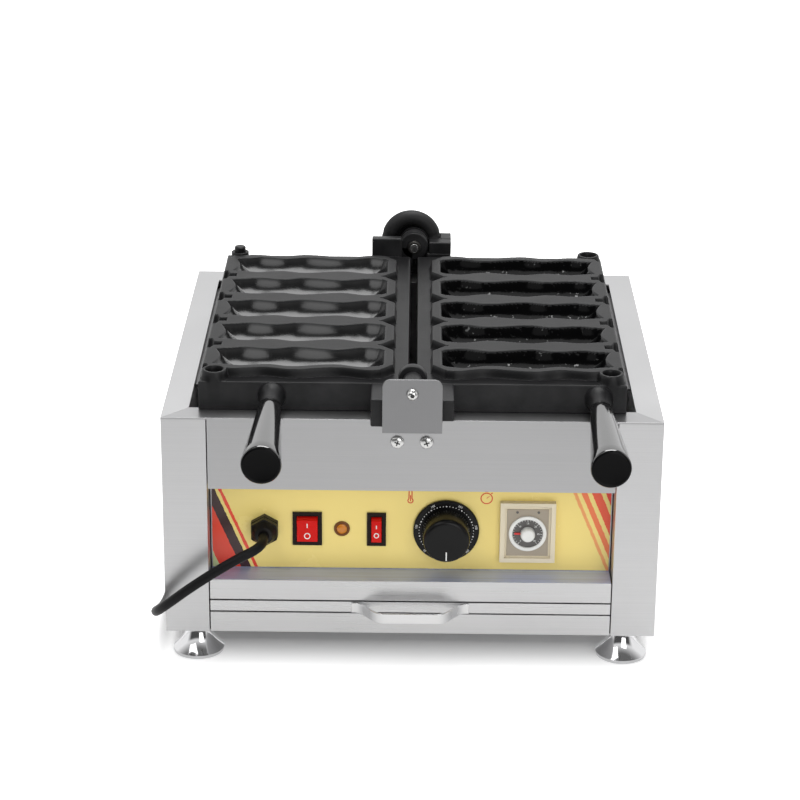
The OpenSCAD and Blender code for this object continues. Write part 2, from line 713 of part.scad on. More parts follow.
tail_points = [
    [coil_x, tail_y, tail_z], [coil_x + 12, tail_y, tail_z], [coil_x + 26, tail_y, tail_z + 0.6],
    [coil_x + 42, tail_y, tail_z + 2.2], [coil_x + 58, tail_y, tail_z + 3.9],
    [coil_x + 72, tail_y, plug_z], [coil_x + plug_dx, tail_y, plug_z]];

function bend(p, q, r, s, t) = 0.5 * (2 * q + (r - p) * t + (2 * p - 5 * q + 4 * r - s) * t * t
                                      + (3 * q - p - 3 * r + s) * t * t * t);
function smooth_path(p, n) = let (m = len(p) - 1)
    concat([for (i = [0:m - 1], k = [0:n - 1])
            bend(p[max(i - 1, 0)], p[i], p[i + 1], p[min(i + 2, m)], k / n)], [p[m]]);
function unit(v) = v / norm(v);
// A tube along a path, as rings of equal sides joined by triangles
module tube(path, r, sides, start, end) {
    m = len(path) - 1;
    rings = [for (i = [0:m])
        let (d = i == 0 ? start : i == m ? end : unit(path[i + 1] - path[i - 1]),
             u = unit(cross(d, [0, 0, 1])), v = cross(u, d))
        for (k = [0:sides - 1]) path[i] + r * (cos(360 * (k + 0.5) / sides) * u
                                               + sin(360 * (k + 0.5) / sides) * v)];
    walls = [for (i = [0:m - 1], k = [0:sides - 1])
        let (a = i * sides + k, b = i * sides + (k + 1) % sides, c = a + sides, e = b + sides)
        each [[a, b, e], [a, e, c]]];
    caps = [for (k = [1:sides - 2]) each [[0, k + 1, k],
            [m * sides, m * sides + k, m * sides + k + 1]]];
    polyhedron(points = rings, faces = concat(walls, caps));
}
run_path = smooth_path(run_points, 2);
tail_path = smooth_path(tail_points, 2);
// The coil goes in on the table and out again on top, and climbs where it turns back
coil_steps = 24;
coil_half = coil_turns / 2;
function coil_climb(s) = s < -0.25 ? 0 : s > 0.25 ? 1 : (1 - cos(180 * (s + 0.25) / 0.5)) / 2;
function coil_point(s) = let (r = coil_in_r + coil_pitch * abs(s), a = 180 - 360 * (s + coil_half))
    [coil_x + r * cos(a), coil_y + r * sin(a), coil_z + coil_layer * coil_climb(s)];
coil_path = [for (i = [0:coil_turns * coil_steps]) coil_point(i / coil_steps - coil_half)];
coil_gap = min([for (i = [0:len(coil_path) - 1], j = [i + 12:len(coil_path) - 1])
                if (j < len(coil_path)) norm(coil_path[i] - coil_path[j])]) - cord_dia;
function path_length(p) = [for (i = 0, l = 0; i < len(p); l = l + (i < len(p) - 1
                           ? norm(p[i + 1] - p[i]) : 0), i = i + 1) l][len(p) - 1];
echo(coil_gap = coil_gap, cord_length = path_length(run_path) + path_length(coil_path)
     + path_length(tail_path));
module cord_run() color("#1b1b1c") placed() tube(run_path, cord_r, 10, [0, -1, 0], [0, 1, 0]);
module cord_coil() color("#1b1b1c") placed() tube(coil_path, cord_r, 6, [0, 1, 0], [1, 0, 0]);
module cord_tail() color("#1b1b1c") placed() tube(tail_path, cord_r, 10, [1, 0, 0], [1, 0, 0]);
// A tie round the bundle where its turns lie two by two
tie_t = 0.9;
module cord_tie() color("black") placed() translate([coil_x, coil_y, coil_z]) rotate(135)
    difference() {
        r1 = coil_in_r + coil_pitch / 2 - cord_r - 0.4;
        r2 = coil_in_r + coil_pitch * 1.5 + cord_r + 0.4;
        block([r1 - tie_t, -5, -cord_r - 0.3 - tie_t],
              [r2 + tie_t, 5, coil_layer + cord_r + 0.3 + tie_t]);
        block([r1, -6, -cord_r - 0.3], [r2, 6, coil_layer + cord_r + 0.3]);
    }
module plug_body() color("#1b1b1c") placed() translate([coil_x + plug_dx, tail_y, plug_z])
    rotate([0, 90, 0]) rotate_extrude()
        polygon([[0, 0], [6, 0], [8, 10], [plug_r - 3, 14], [plug_r - 0.5, 20],
                 [plug_r - 0.5, plug_l], [0, plug_l]]);
module plug_pins() color("silver") placed() for (s = [-1, 1])
    translate([coil_x + plug_dx + plug_l, tail_y + s * 9.5, plug_z]) rotate([0, 90, 0]) {
        cylinder(h = 17, r = 2.4);
        translate([0, 0, 17]) cylinder(h = 2, r1 = 2.4, r2 = 1.4);
    }

// Crumb tray
tray_wall = 1;
module crumb_tray() color("silver") placed() {
    floor_z = tray_z + tray_lift;
    block([-tray_in_x, sheet, floor_z], [tray_in_x, tray_d, floor_z + tray_wall]);
    for (s = [-1, 1]) mirrored(s)
        block([tray_in_x - tray_wall, sheet, floor_z + tray_wall],
              [tray_in_x, tray_d, tray_z + tray_h]);
    block([-tray_in_x + tray_wall, tray_d - tray_wall, floor_z + tray_wall],
          [tray_in_x - tray_wall, tray_d, tray_z + tray_h]);
}
module tray_front() color("gainsboro") placed()
    block([-tray_w / 2, 0, tray_z], [tray_w / 2, sheet, tray_z + tray_h]);
// The pull: one strap bent in two smooth curves, with a short pad at each end
pull_t = 2;
pull_mid = 48;
pull_pad = 3;
pull_steps = 12;
// A point on the strap's right curve: t runs from the pad to the flat, side is 1 outside, -1 inside
function pull_point(t, side) = let (
    run = (pull_w - pull_mid) / 2 - pull_pad, reach = pull_reach - pull_t,
    n = unit([reach * PI / 2 * sin(180 * t), -run]))
    [pull_w / 2 - pull_pad - run * t, -pull_t / 2 - reach * (1 - cos(180 * t)) / 2]
    + side * pull_t / 2 * n;
module tray_handle() color("silver") placed() translate([0, 0, tray_z + 0.3])
    linear_extrude(tray_h - 0.6) {
        outside = concat([[pull_w / 2, -pull_t]],
                         [for (k = [0:pull_steps]) pull_point(k / pull_steps, 1)]);
        inside = concat([for (k = [pull_steps:-1:0]) pull_point(k / pull_steps, -1)],
                        [[pull_w / 2, 0]]);
        right = concat(inside, outside);
        left = [for (k = [len(right) - 1:-1:0]) [-right[k][0], right[k][1]]];
        polygon(concat(right, left));
    }

// Mould plates
// Half the width of a mould along its length, from the hinge side to the outer end
mould_keys = [[0, 17], [0.03, 21.5], [0.12, 24.2], [0.29, 18.2], [0.54, 23.8], [0.68, 19.2],
              [0.84, 22.6], [0.95, 19.6], [1, 18.4]];
function ease(a, b, t) = a + (b - a) * (1 - cos(180 * t)) / 2;
function mould_half(t, i = 0) = t <= mould_keys[i + 1][0] || i == len(mould_keys) - 2
    ? ease(mould_keys[i][1], mould_keys[i + 1][1],
           min(1, (t - mould_keys[i][0]) / (mould_keys[i + 1][0] - mould_keys[i][0])))
    : mould_half(t, i + 1);
mould_steps = 20;
ear_dip = 5;
// The outline of one mould, drawn in from its edge by inset
function mould_outline(inset) = let (
    x1 = rim_inset + rim_w + plate_in + inset, x2 = rim_inset + rim_w + plate_in + mould_l - inset,
    top = [for (k = [0:mould_steps]) let (t = k / mould_steps)
           [x1 + (x2 - x1) * t, mould_half(t) - inset]],
    tip = mould_half(1) - inset,
    end = [for (k = [1:5]) [x2 - ear_dip * (1 - pow(2 * k / 6 - 1, 2)), tip * (1 - 2 * k / 6)]])
    concat(top, end, [for (k = [mould_steps:-1:0]) [top[k][0], -top[k][1]]]);
// The rim round one mould: squarer at the outer end, round at the hinge side
function rim_outline() = let (
    x1 = rim_inset + plate_in, l = mould_l + rim_w * 2,
    top = [for (k = [0:mould_steps]) let (t = k / mould_steps)
           [x1 + l * t, (t < 0.06 ? 18 + 190 * t : t > 0.97 ? 20 : mould_half(t) + rim_w)]])
    concat(top, [for (k = [mould_steps:-1:0]) [top[k][0], -top[k][1]]]);
function mould_y(i) = plate_front + mould_front + i * mould_pitch;
mould_levels = [[0, 0], [0.55, 2.6], [0.85, 7]];
land_x1 = rim_inset + plate_in + 14;
land_x2 = rim_inset + plate_in + mould_l + rim_w;

// A plate with its lugs, mirrored for the left side; low is the slab's underside at the lugs
module slab_and_moulds() difference() {
    union() {
        translate([plate_in, plate_front, slab_z]) cube([plate_w, plate_d, slab_t]);
        translate([0, 0, slab_top]) linear_extrude(rim_top - slab_top) union() {
            translate([land_x1, mould_y(0)])
                square([land_x2 - land_x1 - 6, mould_y(mould_n - 1) - mould_y(0)]);
            for (i = [0:mould_n - 1]) translate([0, mould_y(i)]) polygon(rim_outline());
        }
    }
    for (i = [0:mould_n - 1], l = mould_levels)
        translate([0, mould_y(i), rim_top - mould_depth * (l[0] == 0 ? mould_levels[1][0]
                  : l[0] == mould_levels[1][0] ? mould_levels[2][0] : 1)])
            linear_extrude(mould_depth + 1) polygon(mould_outline(l[1]));
}
loc_x = plate_out - 13;
loc_front = plate_front + ring_r + 1;
loc_rear = plate_rear - ring_r - 1;
module boss(y, r) translate([loc_x, y, slab_top]) cylinder(h = rim_top - slab_top, r = r);
module boss_hole(y) translate([loc_x, y, rim_top - peg_h - 2])
    cylinder(h = peg_h + 3, r = ring_hole_r);
// A lug with its knuckle: the arm beside the axis and a web up to the pin
module lug(y1, y2, low, web_y, r) {
    block([lug_in, y1, low], [lug_out, y2, slab_top]);
    block([1, web_y[0], slab_top - 13], [lug_in, web_y[1], pivot_z - 1]);
    bar_y(0, pivot_z, web_y[0], web_y[1], r);
}
grip_z = slab_z + slab_t / 2;
// The cast boss for a grip
module grip_boss(x) translate([x, plate_front, grip_z]) rotate([90, 0, 0]) rotate_extrude()
    polygon([[0, -1], [slab_t / 2 - 0.3, -1], [slab_t / 2 - 0.3, 0], [slab_t / 2 - 1.6, 3],
             [slab_t / 2 - 2.8, 8], [grip_r1 - 0.6, boss_l], [0, boss_l]]);
cheek_top = pivot_z + 10.2;
cheek_gap = 0.5;
cheek_t = 9.6;

module left_plate() color("#26282a") placed() mirrored(-1) difference() {
    union() {
        slab_and_moulds();
        boss(loc_front, ring_r);
        boss(loc_rear, peg_r + 3);
        translate([loc_x, loc_rear, rim_top]) cylinder(h = peg_h - 1, r = peg_r);
        translate([loc_x, loc_rear, rim_top + peg_h - 1])
            cylinder(h = 1, r1 = peg_r, r2 = peg_r - 1);
        lug(slim_y[0], plate_front, slab_z, disc_y, disc_r);
        lug(plate_rear, rear_slim_y[1], slab_z, rear_slim_y, rear_knuckle_r);
        block([lug_in, plate_rear + cheek_gap, slab_top],
              [lug_out + 6, plate_rear + cheek_gap + cheek_t, cheek_top]);
        grip_boss(handle_left_x);
    }
    boss_hole(loc_front);
    bar_y(0, pivot_z, slim_y[0] - 1, rear_slim_y[1] + 1, pivot_r + run_fit);
}
module right_plate() color("#26282a") placed() difference() {
    union() {
        slab_and_moulds();
        boss(loc_front, ring_r);
        boss(loc_rear, ring_r);
        lug(slim_y[0], plate_front, slab_z + 5.4, slim_y, knuckle_r);
        lug(plate_rear, rear_disc_y[1], slab_z, rear_disc_y, rear_knuckle_r);
        block([bearing_r + 0.5, plate_rear + cheek_t + 3 * cheek_gap, slab_top],
              [bearing_half_w, rear_disc_y[1], bearing_top]);
        grip_boss(handle_right_x);
    }
    boss_hole(loc_front);
    boss_hole(loc_rear);
    // The pocket that takes the left plate's cheek when the plates are shut
    block([lug_in - 1, plate_rear, 2 * pivot_z - cheek_top - 1.2],
          [lug_out + 1, plate_rear + cheek_t + 2 * cheek_gap, slab_top + 1]);
    bar_y(0, pivot_z, slim_y[0] - 1, rear_disc_y[1] + 1, pivot_r + run_fit);
}

// Heaters
heater_r = 4.25;
heater_x = [35, 70, 105, 140];
heater_y = [plate_front + 45, plate_rear - 35];
heater_z = slab_z - heater_r - 0.15;
module heater() color("#4a4a48") {
    for (x = heater_x) bar_y(x, heater_z, heater_y[0], heater_y[1], heater_r);
    for (i = [0, 2]) heater_turn(i, heater_y[0], -1);
    heater_turn(1, heater_y[1], 1);
}
module heater_turn(i, y, dir) translate([(heater_x[i] + heater_x[i + 1]) / 2, y, heater_z])
    rotate(dir > 0 ? 0 : 180) rotate_extrude(angle = 180)
        translate([(heater_x[i + 1] - heater_x[i]) / 2, 0]) circle(r = heater_r);
clamp_z = heater_z - heater_r - 0.15;
clamp_t = 2;
clamp_stud_r = 2.5;
clamp_ys = [plate_front + 60, plate_mid, plate_rear - 60];
clamp_xs = [(heater_x[0] + heater_x[1]) / 2, (heater_x[2] + heater_x[3]) / 2];
module heater_clamp() color("silver") difference() {
    block([heater_x[0] - 12, clamp_ys[0] - 12, clamp_z - clamp_t],
          [heater_x[3] + 12, clamp_ys[2] + 12, clamp_z]);
    for (x = clamp_xs, y = clamp_ys) translate([x, y, clamp_z - clamp_t - 1])
        cylinder(h = clamp_t + 2, r = clamp_stud_r + hole_fit);
}
module clamp_nuts() color("silver") for (x = clamp_xs, y = clamp_ys) translate([x, y, 0]) {
    translate([0, 0, clamp_z - clamp_t - 5])
        cylinder(h = slab_z - clamp_z + clamp_t + 5, r = clamp_stud_r);
    translate([0, 0, clamp_z - clamp_t - 4]) difference() {
        cylinder(h = 4, r = 5, $fn = 6);
        translate([0, 0, -1]) cylinder(h = 6, r = clamp_stud_r);
    }
}
module left_heater() placed() mirrored(-1) heater();
module right_heater() placed() heater();
module left_heater_clamp() placed() mirrored(-1) heater_clamp();
module right_heater_clamp() placed() heater_clamp();
module left_clamp_nuts() placed() mirrored(-1) clamp_nuts();
module right_clamp_nuts() placed() clamp_nuts();

// Grips
module grip(x) color("#141414") placed() translate([x, plate_front - boss_l, grip_z])
    rotate([90, 0, 0]) rotate_extrude()
        polygon([[0, 0], [grip_r1 - 1, 0], [grip_r1, 1], [grip_r2, grip_l - 2.5],
                 [grip_r2 - 0.7, grip_l - 0.7], [grip_r2 - 2.5, grip_l], [0, grip_l]]);
module left_grip() grip(-handle_left_x);
module right_grip() grip(handle_right_x);

side_panel_left();
side_panel_right();
front_apron();
control_panel();
panel_overlay();
ledge();
bottom_rail();
base_plate();
back_panel();
inner_shield();
plate_rests();
tray_runners();
front_hinge_bracket();
front_pivot_bolt();
front_pivot_nut();
bracket_screws();
rear_bearing();
rear_pivot_bolt();
rear_pivot_nut();
bearing_screws();
lead_sleeve();
foot_front_left();
foot_front_right();
foot_rear_left();
foot_rear_right();
power_switch_frame();
power_rocker();
alarm_switch_frame();
alarm_rocker();
lamp_bezel();
lamp_lens();
thermostat();
thermostat_knob();
timer_case();
timer_knob();
buzzer();
relay();
terminal_block();
cord_gland();
gland_nut();
cord_run();
cord_coil();
cord_tail();
cord_tie();
plug_body();
plug_pins();
crumb_tray();
tray_front();
tray_handle();
left_plate();
left_heater();
left_heater_clamp();
left_clamp_nuts();
left_grip();
right_plate();
right_heater();
right_heater_clamp();
right_clamp_nuts();
right_grip();
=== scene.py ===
import math

import bmesh
import bpy
import numpy as np
from mathutils import Matrix, Vector


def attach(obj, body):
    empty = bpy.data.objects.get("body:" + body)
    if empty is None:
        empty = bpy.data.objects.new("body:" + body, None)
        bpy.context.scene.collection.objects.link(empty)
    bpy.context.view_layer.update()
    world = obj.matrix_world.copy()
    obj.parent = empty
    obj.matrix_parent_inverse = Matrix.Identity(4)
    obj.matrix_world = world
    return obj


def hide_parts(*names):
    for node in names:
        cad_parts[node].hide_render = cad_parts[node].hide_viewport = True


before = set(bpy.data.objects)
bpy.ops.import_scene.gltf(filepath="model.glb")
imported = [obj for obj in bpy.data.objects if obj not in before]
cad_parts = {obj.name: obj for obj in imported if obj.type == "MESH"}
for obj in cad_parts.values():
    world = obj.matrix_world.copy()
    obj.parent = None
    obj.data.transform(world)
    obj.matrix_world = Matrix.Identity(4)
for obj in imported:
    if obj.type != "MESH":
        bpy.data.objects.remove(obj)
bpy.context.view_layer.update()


def add_object(name, data):
    thing = bpy.data.objects.new(name, data)
    bpy.context.scene.collection.objects.link(thing)
    return thing


# Camera
# One long lens in front of the machine, a little above it. Its place comes from the edges of the
# housing, so every other piece falls where the CAD puts it.
LOOK_FROM = Vector((0.0001, -2.0971, 1.0099))
LENS_PIXELS, PICTURE_PIXELS = 2500.0, 800.0
TURN, TILT, ROLL = math.radians(0.31), math.radians(21.28), math.radians(0.52)

forward = Vector((-math.sin(TURN) * math.cos(TILT), math.cos(TURN) * math.cos(TILT), -math.sin(TILT)))
level = Vector((math.cos(TURN), math.sin(TURN), 0.0))
upward = level.cross(forward)
right = level * math.cos(ROLL) + upward * math.sin(ROLL)
top = upward * math.cos(ROLL) - level * math.sin(ROLL)
camera_data = bpy.data.cameras.new("camera")
camera_data.sensor_width = 36.0
camera_data.lens = LENS_PIXELS * camera_data.sensor_width / PICTURE_PIXELS
camera_data.clip_end = 50.0
camera = add_object("camera", camera_data)
camera.matrix_world = Matrix((
    (right.x, top.x, -forward.x, LOOK_FROM.x),
    (right.y, top.y, -forward.y, LOOK_FROM.y),
    (right.z, top.z, -forward.z, LOOK_FROM.z),
    (0, 0, 0, 1)))
bpy.context.scene.camera = camera

# Cord
# A round mains lead of 8.5 mm in a smooth black rubber sheath. It leaves the gland, bends down round
# the left front corner, runs along the table and is wound up behind the machine, held by a tie.
FRONT_Y = -0.14125                       # the housing's front face in the shared frame
MM = 0.001
CORD_DIA = 8.5


def at(x, y, z):
    """A point given in millimetres from the housing's front face."""
    return Vector((x * MM, y * MM + FRONT_Y, z * MM))


def node_group(name, inputs, outputs):
    """A group of nodes. Each input is a number, a vector or a colour, by the value that it starts with."""
    group = bpy.data.node_groups.new(name, "ShaderNodeTree")
    kinds = {1: "NodeSocketFloat", 3: "NodeSocketVector", 4: "NodeSocketColor"}
    for label, value in inputs.items():
        kind = kinds[len(value) if isinstance(value, tuple) else 1]
        group.interface.new_socket(label, in_out="INPUT", socket_type=kind).default_value = value
    for label in outputs:
        kind = kinds[4 if label == "Colour" else 1]
        group.interface.new_socket(label, in_out="OUTPUT", socket_type=kind)
    return group, group.nodes.new("NodeGroupInput"), group.nodes.new("NodeGroupOutput")


def noise_node(tree, vector, scale, detail=2.0, roughness=0.5):
    node = tree.nodes.new("ShaderNodeTexNoise")
    node.inputs["Detail"].default_value = detail
    node.inputs["Roughness"].default_value = roughness
    tree.links.new(vector, node.inputs["Vector"])
    if isinstance(scale, (int, float)):
        node.inputs["Scale"].default_value = scale
    else:
        tree.links.new(scale, node.inputs["Scale"])
    return node.outputs["Fac"]


def math_node(tree, operation, a, b, clamp=False):
    node = tree.nodes.new("ShaderNodeMath")
    node.operation = operation
    node.use_clamp = clamp
    for socket, value in zip(node.inputs, (a, b)):
        if isinstance(value, (int, float)):
            socket.default_value = value
        else:
            tree.links.new(value, socket)
    return node.outputs[0]


def times(tree, a, b):
    return math_node(tree, "MULTIPLY", a, b)


def plus(tree, a, b):
    return math_node(tree, "ADD", a, b)


def minus(tree, a, b):
    return math_node(tree, "SUBTRACT", a, b)


def map_node(tree, value, low, high, to_low, to_high):
    node = tree.nodes.new("ShaderNodeMapRange")
    for label, item in (("Value", value), ("From Min", low), ("From Max", high),
                        ("To Min", to_low), ("To Max", to_high)):
        if isinstance(item, (int, float)):
            node.inputs[label].default_value = item
        else:
            tree.links.new(item, node.inputs[label])
    return node.outputs["Result"]


def mix_node(tree, factor, a, b):
    node = tree.nodes.new("ShaderNodeMix")
    node.data_type = "RGBA"
    for socket, value in ((node.inputs["Factor"], factor), (node.inputs["A"], a), (node.inputs["B"], b)):
        if isinstance(value, (int, float)):
            socket.default_value = value
        elif isinstance(value, tuple):
            socket.default_value = (*value, 1.0)
        else:
            tree.links.new(value, socket)
    return node.outputs["Result"]


def edge_group():
    """Mask of convex edges, where handling rubs a surface bright, and where a painted highlight lightens a
    casting's corners.
    """
    group, given, out = node_group("rubbed_and_highlit_edges", {"Width": 0.5, "Breakup": 60.0}, ["Mask"])
    geometry = group.nodes.new("ShaderNodeNewGeometry")
    coords = group.nodes.new("ShaderNodeTexCoord")
    broken = noise_node(group, coords.outputs["Object"], given.outputs["Breakup"], 3.0)
    point = map_node(group, geometry.outputs["Pointiness"], 0.5, 0.62, 0.0, 1.0)
    wear_and_highlight = times(group, point, broken)
    group.links.new(math_node(group, "MULTIPLY", wear_and_highlight, given.outputs["Width"], clamp=True),
                    out.inputs["Mask"])
    return group


def vary(group, given, out, noise, shift, height):
    """Lets one noise move the colour and the roughness of a group about their given values."""
    swing = minus(group, noise, 0.5)
    tone = group.nodes.new("ShaderNodeHueSaturation")
    group.links.new(given.outputs["Colour"], tone.inputs["Color"])
    group.links.new(plus(group, times(group, swing, given.outputs[shift]), 1.0), tone.inputs["Value"])
    rough = plus(group, times(group, swing, given.outputs["Roughness shift"]), given.outputs["Roughness"])
    group.links.new(tone.outputs["Color"], out.inputs["Colour"])
    group.links.new(rough, out.inputs["Roughness"])
    group.links.new(height, out.inputs["Height"])
    return group


def skin_group():
    """The skin of moulded or cast stuff: fine grain, soft waves and faint marks from handling."""
    group, given, out = node_group(
        "moulded_skin",
        {"Colour": (0.1, 0.1, 0.1, 1.0), "Colour shift": 0.1, "Roughness": 0.4, "Roughness shift": 0.1,
         "Grain size": 900.0, "Mark size": 18.0}, ["Colour", "Roughness", "Height"])
    coords = group.nodes.new("ShaderNodeTexCoord")
    grain = noise_node(group, coords.outputs["Object"], given.outputs["Grain size"], 2.0)
    marks = noise_node(group, coords.outputs["Object"], given.outputs["Mark size"], 5.0, 0.6)
    return vary(group, given, out, marks, "Colour shift", grain)


SKIN = skin_group()
EDGES = edge_group()


def shader(name):
    material = bpy.data.materials.new(name)
    material.use_nodes = True
    return material, material.node_tree, material.node_tree.nodes["Principled BSDF"]


def place_group(tree, group, **values):
    node = tree.nodes.new("ShaderNodeGroup")
    node.node_tree = group
    for label, value in values.items():
        socket = node.inputs[label.replace("_", " ")]
        if isinstance(value, (int, float)):
            socket.default_value = value
        else:
            socket.default_value = (*value, 1.0)
    return node


def bump(tree, surface, height, depth):
    node = tree.nodes.new("ShaderNodeBump")
    node.inputs["Distance"].default_value = depth
    tree.links.new(height, node.inputs["Height"])
    tree.links.new(node.outputs["Normal"], surface.inputs["Normal"])


def moulded(name, colour, rough, metal=0.0, grain=900.0, depth=0.00002, shift=0.25, rough_shift=0.12,
            coat=0.0, marks=18.0, wear_and_highlight=None, shine=0.5):
    """A material that is one stuff all through, with its moulded or cast skin."""
    material, tree, surface = shader(name)
    skin = place_group(tree, SKIN, Colour=colour, Colour_shift=shift, Roughness=rough,
                       Roughness_shift=rough_shift, Grain_size=grain, Mark_size=marks)
    base = skin.outputs["Colour"]
    # Convex edges take a lighter colour: partly rubbed wear, partly a painted edge highlight.
    if wear_and_highlight:
        edges = place_group(tree, EDGES, Width=wear_and_highlight[1])
        base = mix_node(tree, edges.outputs["Mask"], base, wear_and_highlight[0])
    tree.links.new(base, surface.inputs["Base Color"])
    tree.links.new(skin.outputs["Roughness"], surface.inputs["Roughness"])
    surface.inputs["Metallic"].default_value = metal
    surface.inputs["Specular IOR Level"].default_value = shine
    surface.inputs["Coat Weight"].default_value = coat
    surface.inputs["Coat Roughness"].default_value = 0.08
    bump(tree, surface, skin.outputs["Height"], depth)
    return material


def finish_piece(piece, body, slot, *nodes):
    """Hangs a piece on its body and hides the solids that it stands for."""
    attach(piece, body)
    if nodes:
        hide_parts(*nodes)
    return piece


ROUTE = [
    (-127, 7, 118), (-127, -3, 118), (-128.5, -11, 117.6), (-133.5, -18, 116), (-145.5, -22.5, 111),
    (-165, -25, 99.6), (-188.5, -24.5, 82.8), (-206, -20, 67.4), (-215.5, -12, 57), (-220, -1, 49.5),
    (-222, 12, 43), (-222, 28, 36.5), (-222, 48, 28.5), (-222, 72, 19.8), (-222, 96, 12.6),
    (-222, 120, 7.5), (-222, 146, 5), (-222, 172, 4.6), (-222, 210, 4.6), (-222, 260, 4.6),
    (-222, 310, 4.6), (-222, 360, 4.6), (-222, 405, 4.8), (-222, 430, 5.3), (-222, 448, 5.5)]
COIL_TURNS, COIL_INNER, COIL_PITCH, COIL_LAYER = 3.25, 39.0, 9.0, 9.0
COIL_OUTER = COIL_INNER + COIL_PITCH * COIL_TURNS / 2
COIL_X, COIL_Y, COIL_Z = -222 + COIL_OUTER, 458.0, 5.5
TAIL_Y, TAIL_Z, PLUG_Z, PLUG_DX = COIL_Y + COIL_OUTER, COIL_Z + COIL_LAYER, 19.2, 86.0
TURN_STEPS = 24
for step in range(int(COIL_TURNS * TURN_STEPS) + 1):
    along = step / TURN_STEPS - COIL_TURNS / 2
    climb = min(1.0, max(0.0, (along + 0.25) / 0.5))
    radius = COIL_INNER + COIL_PITCH * abs(along)
    angle = math.radians(180 - 360 * step / TURN_STEPS)
    ROUTE.append((COIL_X + radius * math.cos(angle), COIL_Y + radius * math.sin(angle),
                  COIL_Z + COIL_LAYER * (1 - math.cos(math.pi * climb)) / 2))
ROUTE += [(COIL_X + 12, TAIL_Y, TAIL_Z), (COIL_X + 26, TAIL_Y, TAIL_Z + 0.6),
          (COIL_X + 42, TAIL_Y, TAIL_Z + 2.2), (COIL_X + 58, TAIL_Y, TAIL_Z + 3.9),
          (COIL_X + 72, TAIL_Y, PLUG_Z), (COIL_X + PLUG_DX, TAIL_Y, PLUG_Z)]

cord_curve = bpy.data.curves.new("cord", "CURVE")
cord_curve.dimensions = "3D"
cord_curve.bevel_depth = CORD_DIA / 2 * MM
cord_curve.bevel_resolution = 5
cord_curve.resolution_u = 4
cord_curve.use_fill_caps = True
spline = cord_curve.splines.new("BEZIER")
spline.bezier_points.add(len(ROUTE) - 1)
for knot, place in zip(spline.bezier_points, ROUTE):
    knot.co = at(*place)
    knot.handle_left_type = knot.handle_right_type = "AUTO"
cord = add_object("cord", cord_curve)
cord_curve.materials.append(
    moulded("cord sheath", (0.006, 0.006, 0.0065), 0.42, grain=1500, depth=0.00003, shift=0.5, marks=40,
            shine=0.14))
finish_piece(cord, "housing", "cord_black", "cord_run", "cord_coil", "cord_tail")

plug_shell = moulded("plug shell", (0.014, 0.014, 0.0145), 0.45, grain=1800, depth=0.00004, shift=0.4)
tie_nylon = moulded("tie nylon", (0.02, 0.02, 0.02), 0.5, grain=1200)


def soften(piece, width, segments=2, angle=35):
    """Breaks every sharp edge with a small round, as folding, casting or moulding leaves it."""
    bevel = piece.modifiers.new("edges", "BEVEL")
    bevel.width = width * MM
    bevel.segments = segments
    bevel.limit_method = "ANGLE"
    bevel.angle_limit = math.radians(angle)
    bevel.use_clamp_overlap = True
    bevel.harden_normals = True
    bevel.miter_outer = "MITER_ARC"
    return piece


def even_flats(piece):
    """Lets the large faces rule the shading beside their rounded edges, so that they look flat."""
    even = piece.modifiers.new("even_flats", "WEIGHTED_NORMAL")
    even.weight = 80
    even.keep_sharp = True
    return piece


def add_piece(name, mesh, material, smooth=True):
    mesh.materials.clear()
    mesh.materials.append(material)
    mesh.shade_smooth() if smooth else mesh.shade_flat()
    return add_object(name, mesh)


def from_solid(node, material, body, slot, width=0.4, segments=2, angle=35):
    """A finished copy of a solid: its flat faces joined again and its edges broken."""
    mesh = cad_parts[node].data.copy()
    work = bmesh.new()
    work.from_mesh(mesh)
    bmesh.ops.remove_doubles(work, verts=work.verts, dist=2e-6)
    bmesh.ops.dissolve_limit(work, angle_limit=math.radians(0.6), verts=work.verts, edges=work.edges)
    bmesh.ops.recalc_face_normals(work, faces=work.faces)
    work.to_mesh(mesh)
    work.free()
    piece = add_piece(node + "_piece", mesh, material)
    soften(piece, width, segments, angle)
    even_flats(piece)
    return finish_piece(piece, body, slot, node)


plug = from_solid("plug_body", plug_shell, "housing", "plug_black", 0.6, 2, 25)
pins = from_solid("plug_pins", moulded("plug pins", (0.75, 0.72, 0.66), 0.22, metal=1.0, shift=0.1),
                  "housing", "pin_brass", 0.2)
tie = from_solid("cord_tie", tie_nylon, "housing", "gland_black", 0.25)

# Steel housing
# Folded panels of 1.5 mm stainless sheet with a fine satin grain along their length. The folds and cut
# edges are broken by hand, so they catch the light as thin bright lines.


def grain_group():
    """Satin grain of rolled or belted sheet: long fine scratches, with soft cloudy marks."""
    group, given, out = node_group(
        "satin_grain",
        {"Stretch": (6.0, 6.0, 700.0), "Roughness": 0.3, "Roughness shift": 0.12,
         "Colour": (0.6, 0.6, 0.6, 1.0), "Cloud": 0.1}, ["Colour", "Roughness", "Height"])
    coords = group.nodes.new("ShaderNodeTexCoord")
    stretch = group.nodes.new("ShaderNodeVectorMath")
    stretch.operation = "MULTIPLY"
    group.links.new(coords.outputs["Object"], stretch.inputs[0])
    group.links.new(given.outputs["Stretch"], stretch.inputs[1])
    lines = noise_node(group, stretch.outputs[0], 1.0, 4.0, 0.65)
    cloud = noise_node(group, coords.outputs["Object"], 7.0, 4.0, 0.6)
    both = plus(group, times(group, lines, 0.6), times(group, cloud, 0.4))
    return vary(group, given, out, both, "Cloud", lines)


GRAIN = grain_group()


def steel(name, colour, rough, stretch=(5.0, 5.0, 900.0), cloud=0.25, metal=1.0):
    material, tree, surface = shader(name)
    grain = place_group(tree, GRAIN, Colour=colour, Roughness=rough, Roughness_shift=0.3, Cloud=cloud)
    grain.inputs["Stretch"].default_value = stretch
    tree.links.new(grain.outputs["Colour"], surface.inputs["Base Color"])
    tree.links.new(grain.outputs["Roughness"], surface.inputs["Roughness"])
    surface.inputs["Metallic"].default_value = metal
    bump(tree, surface, grain.outputs["Height"], 0.000012)
    return material


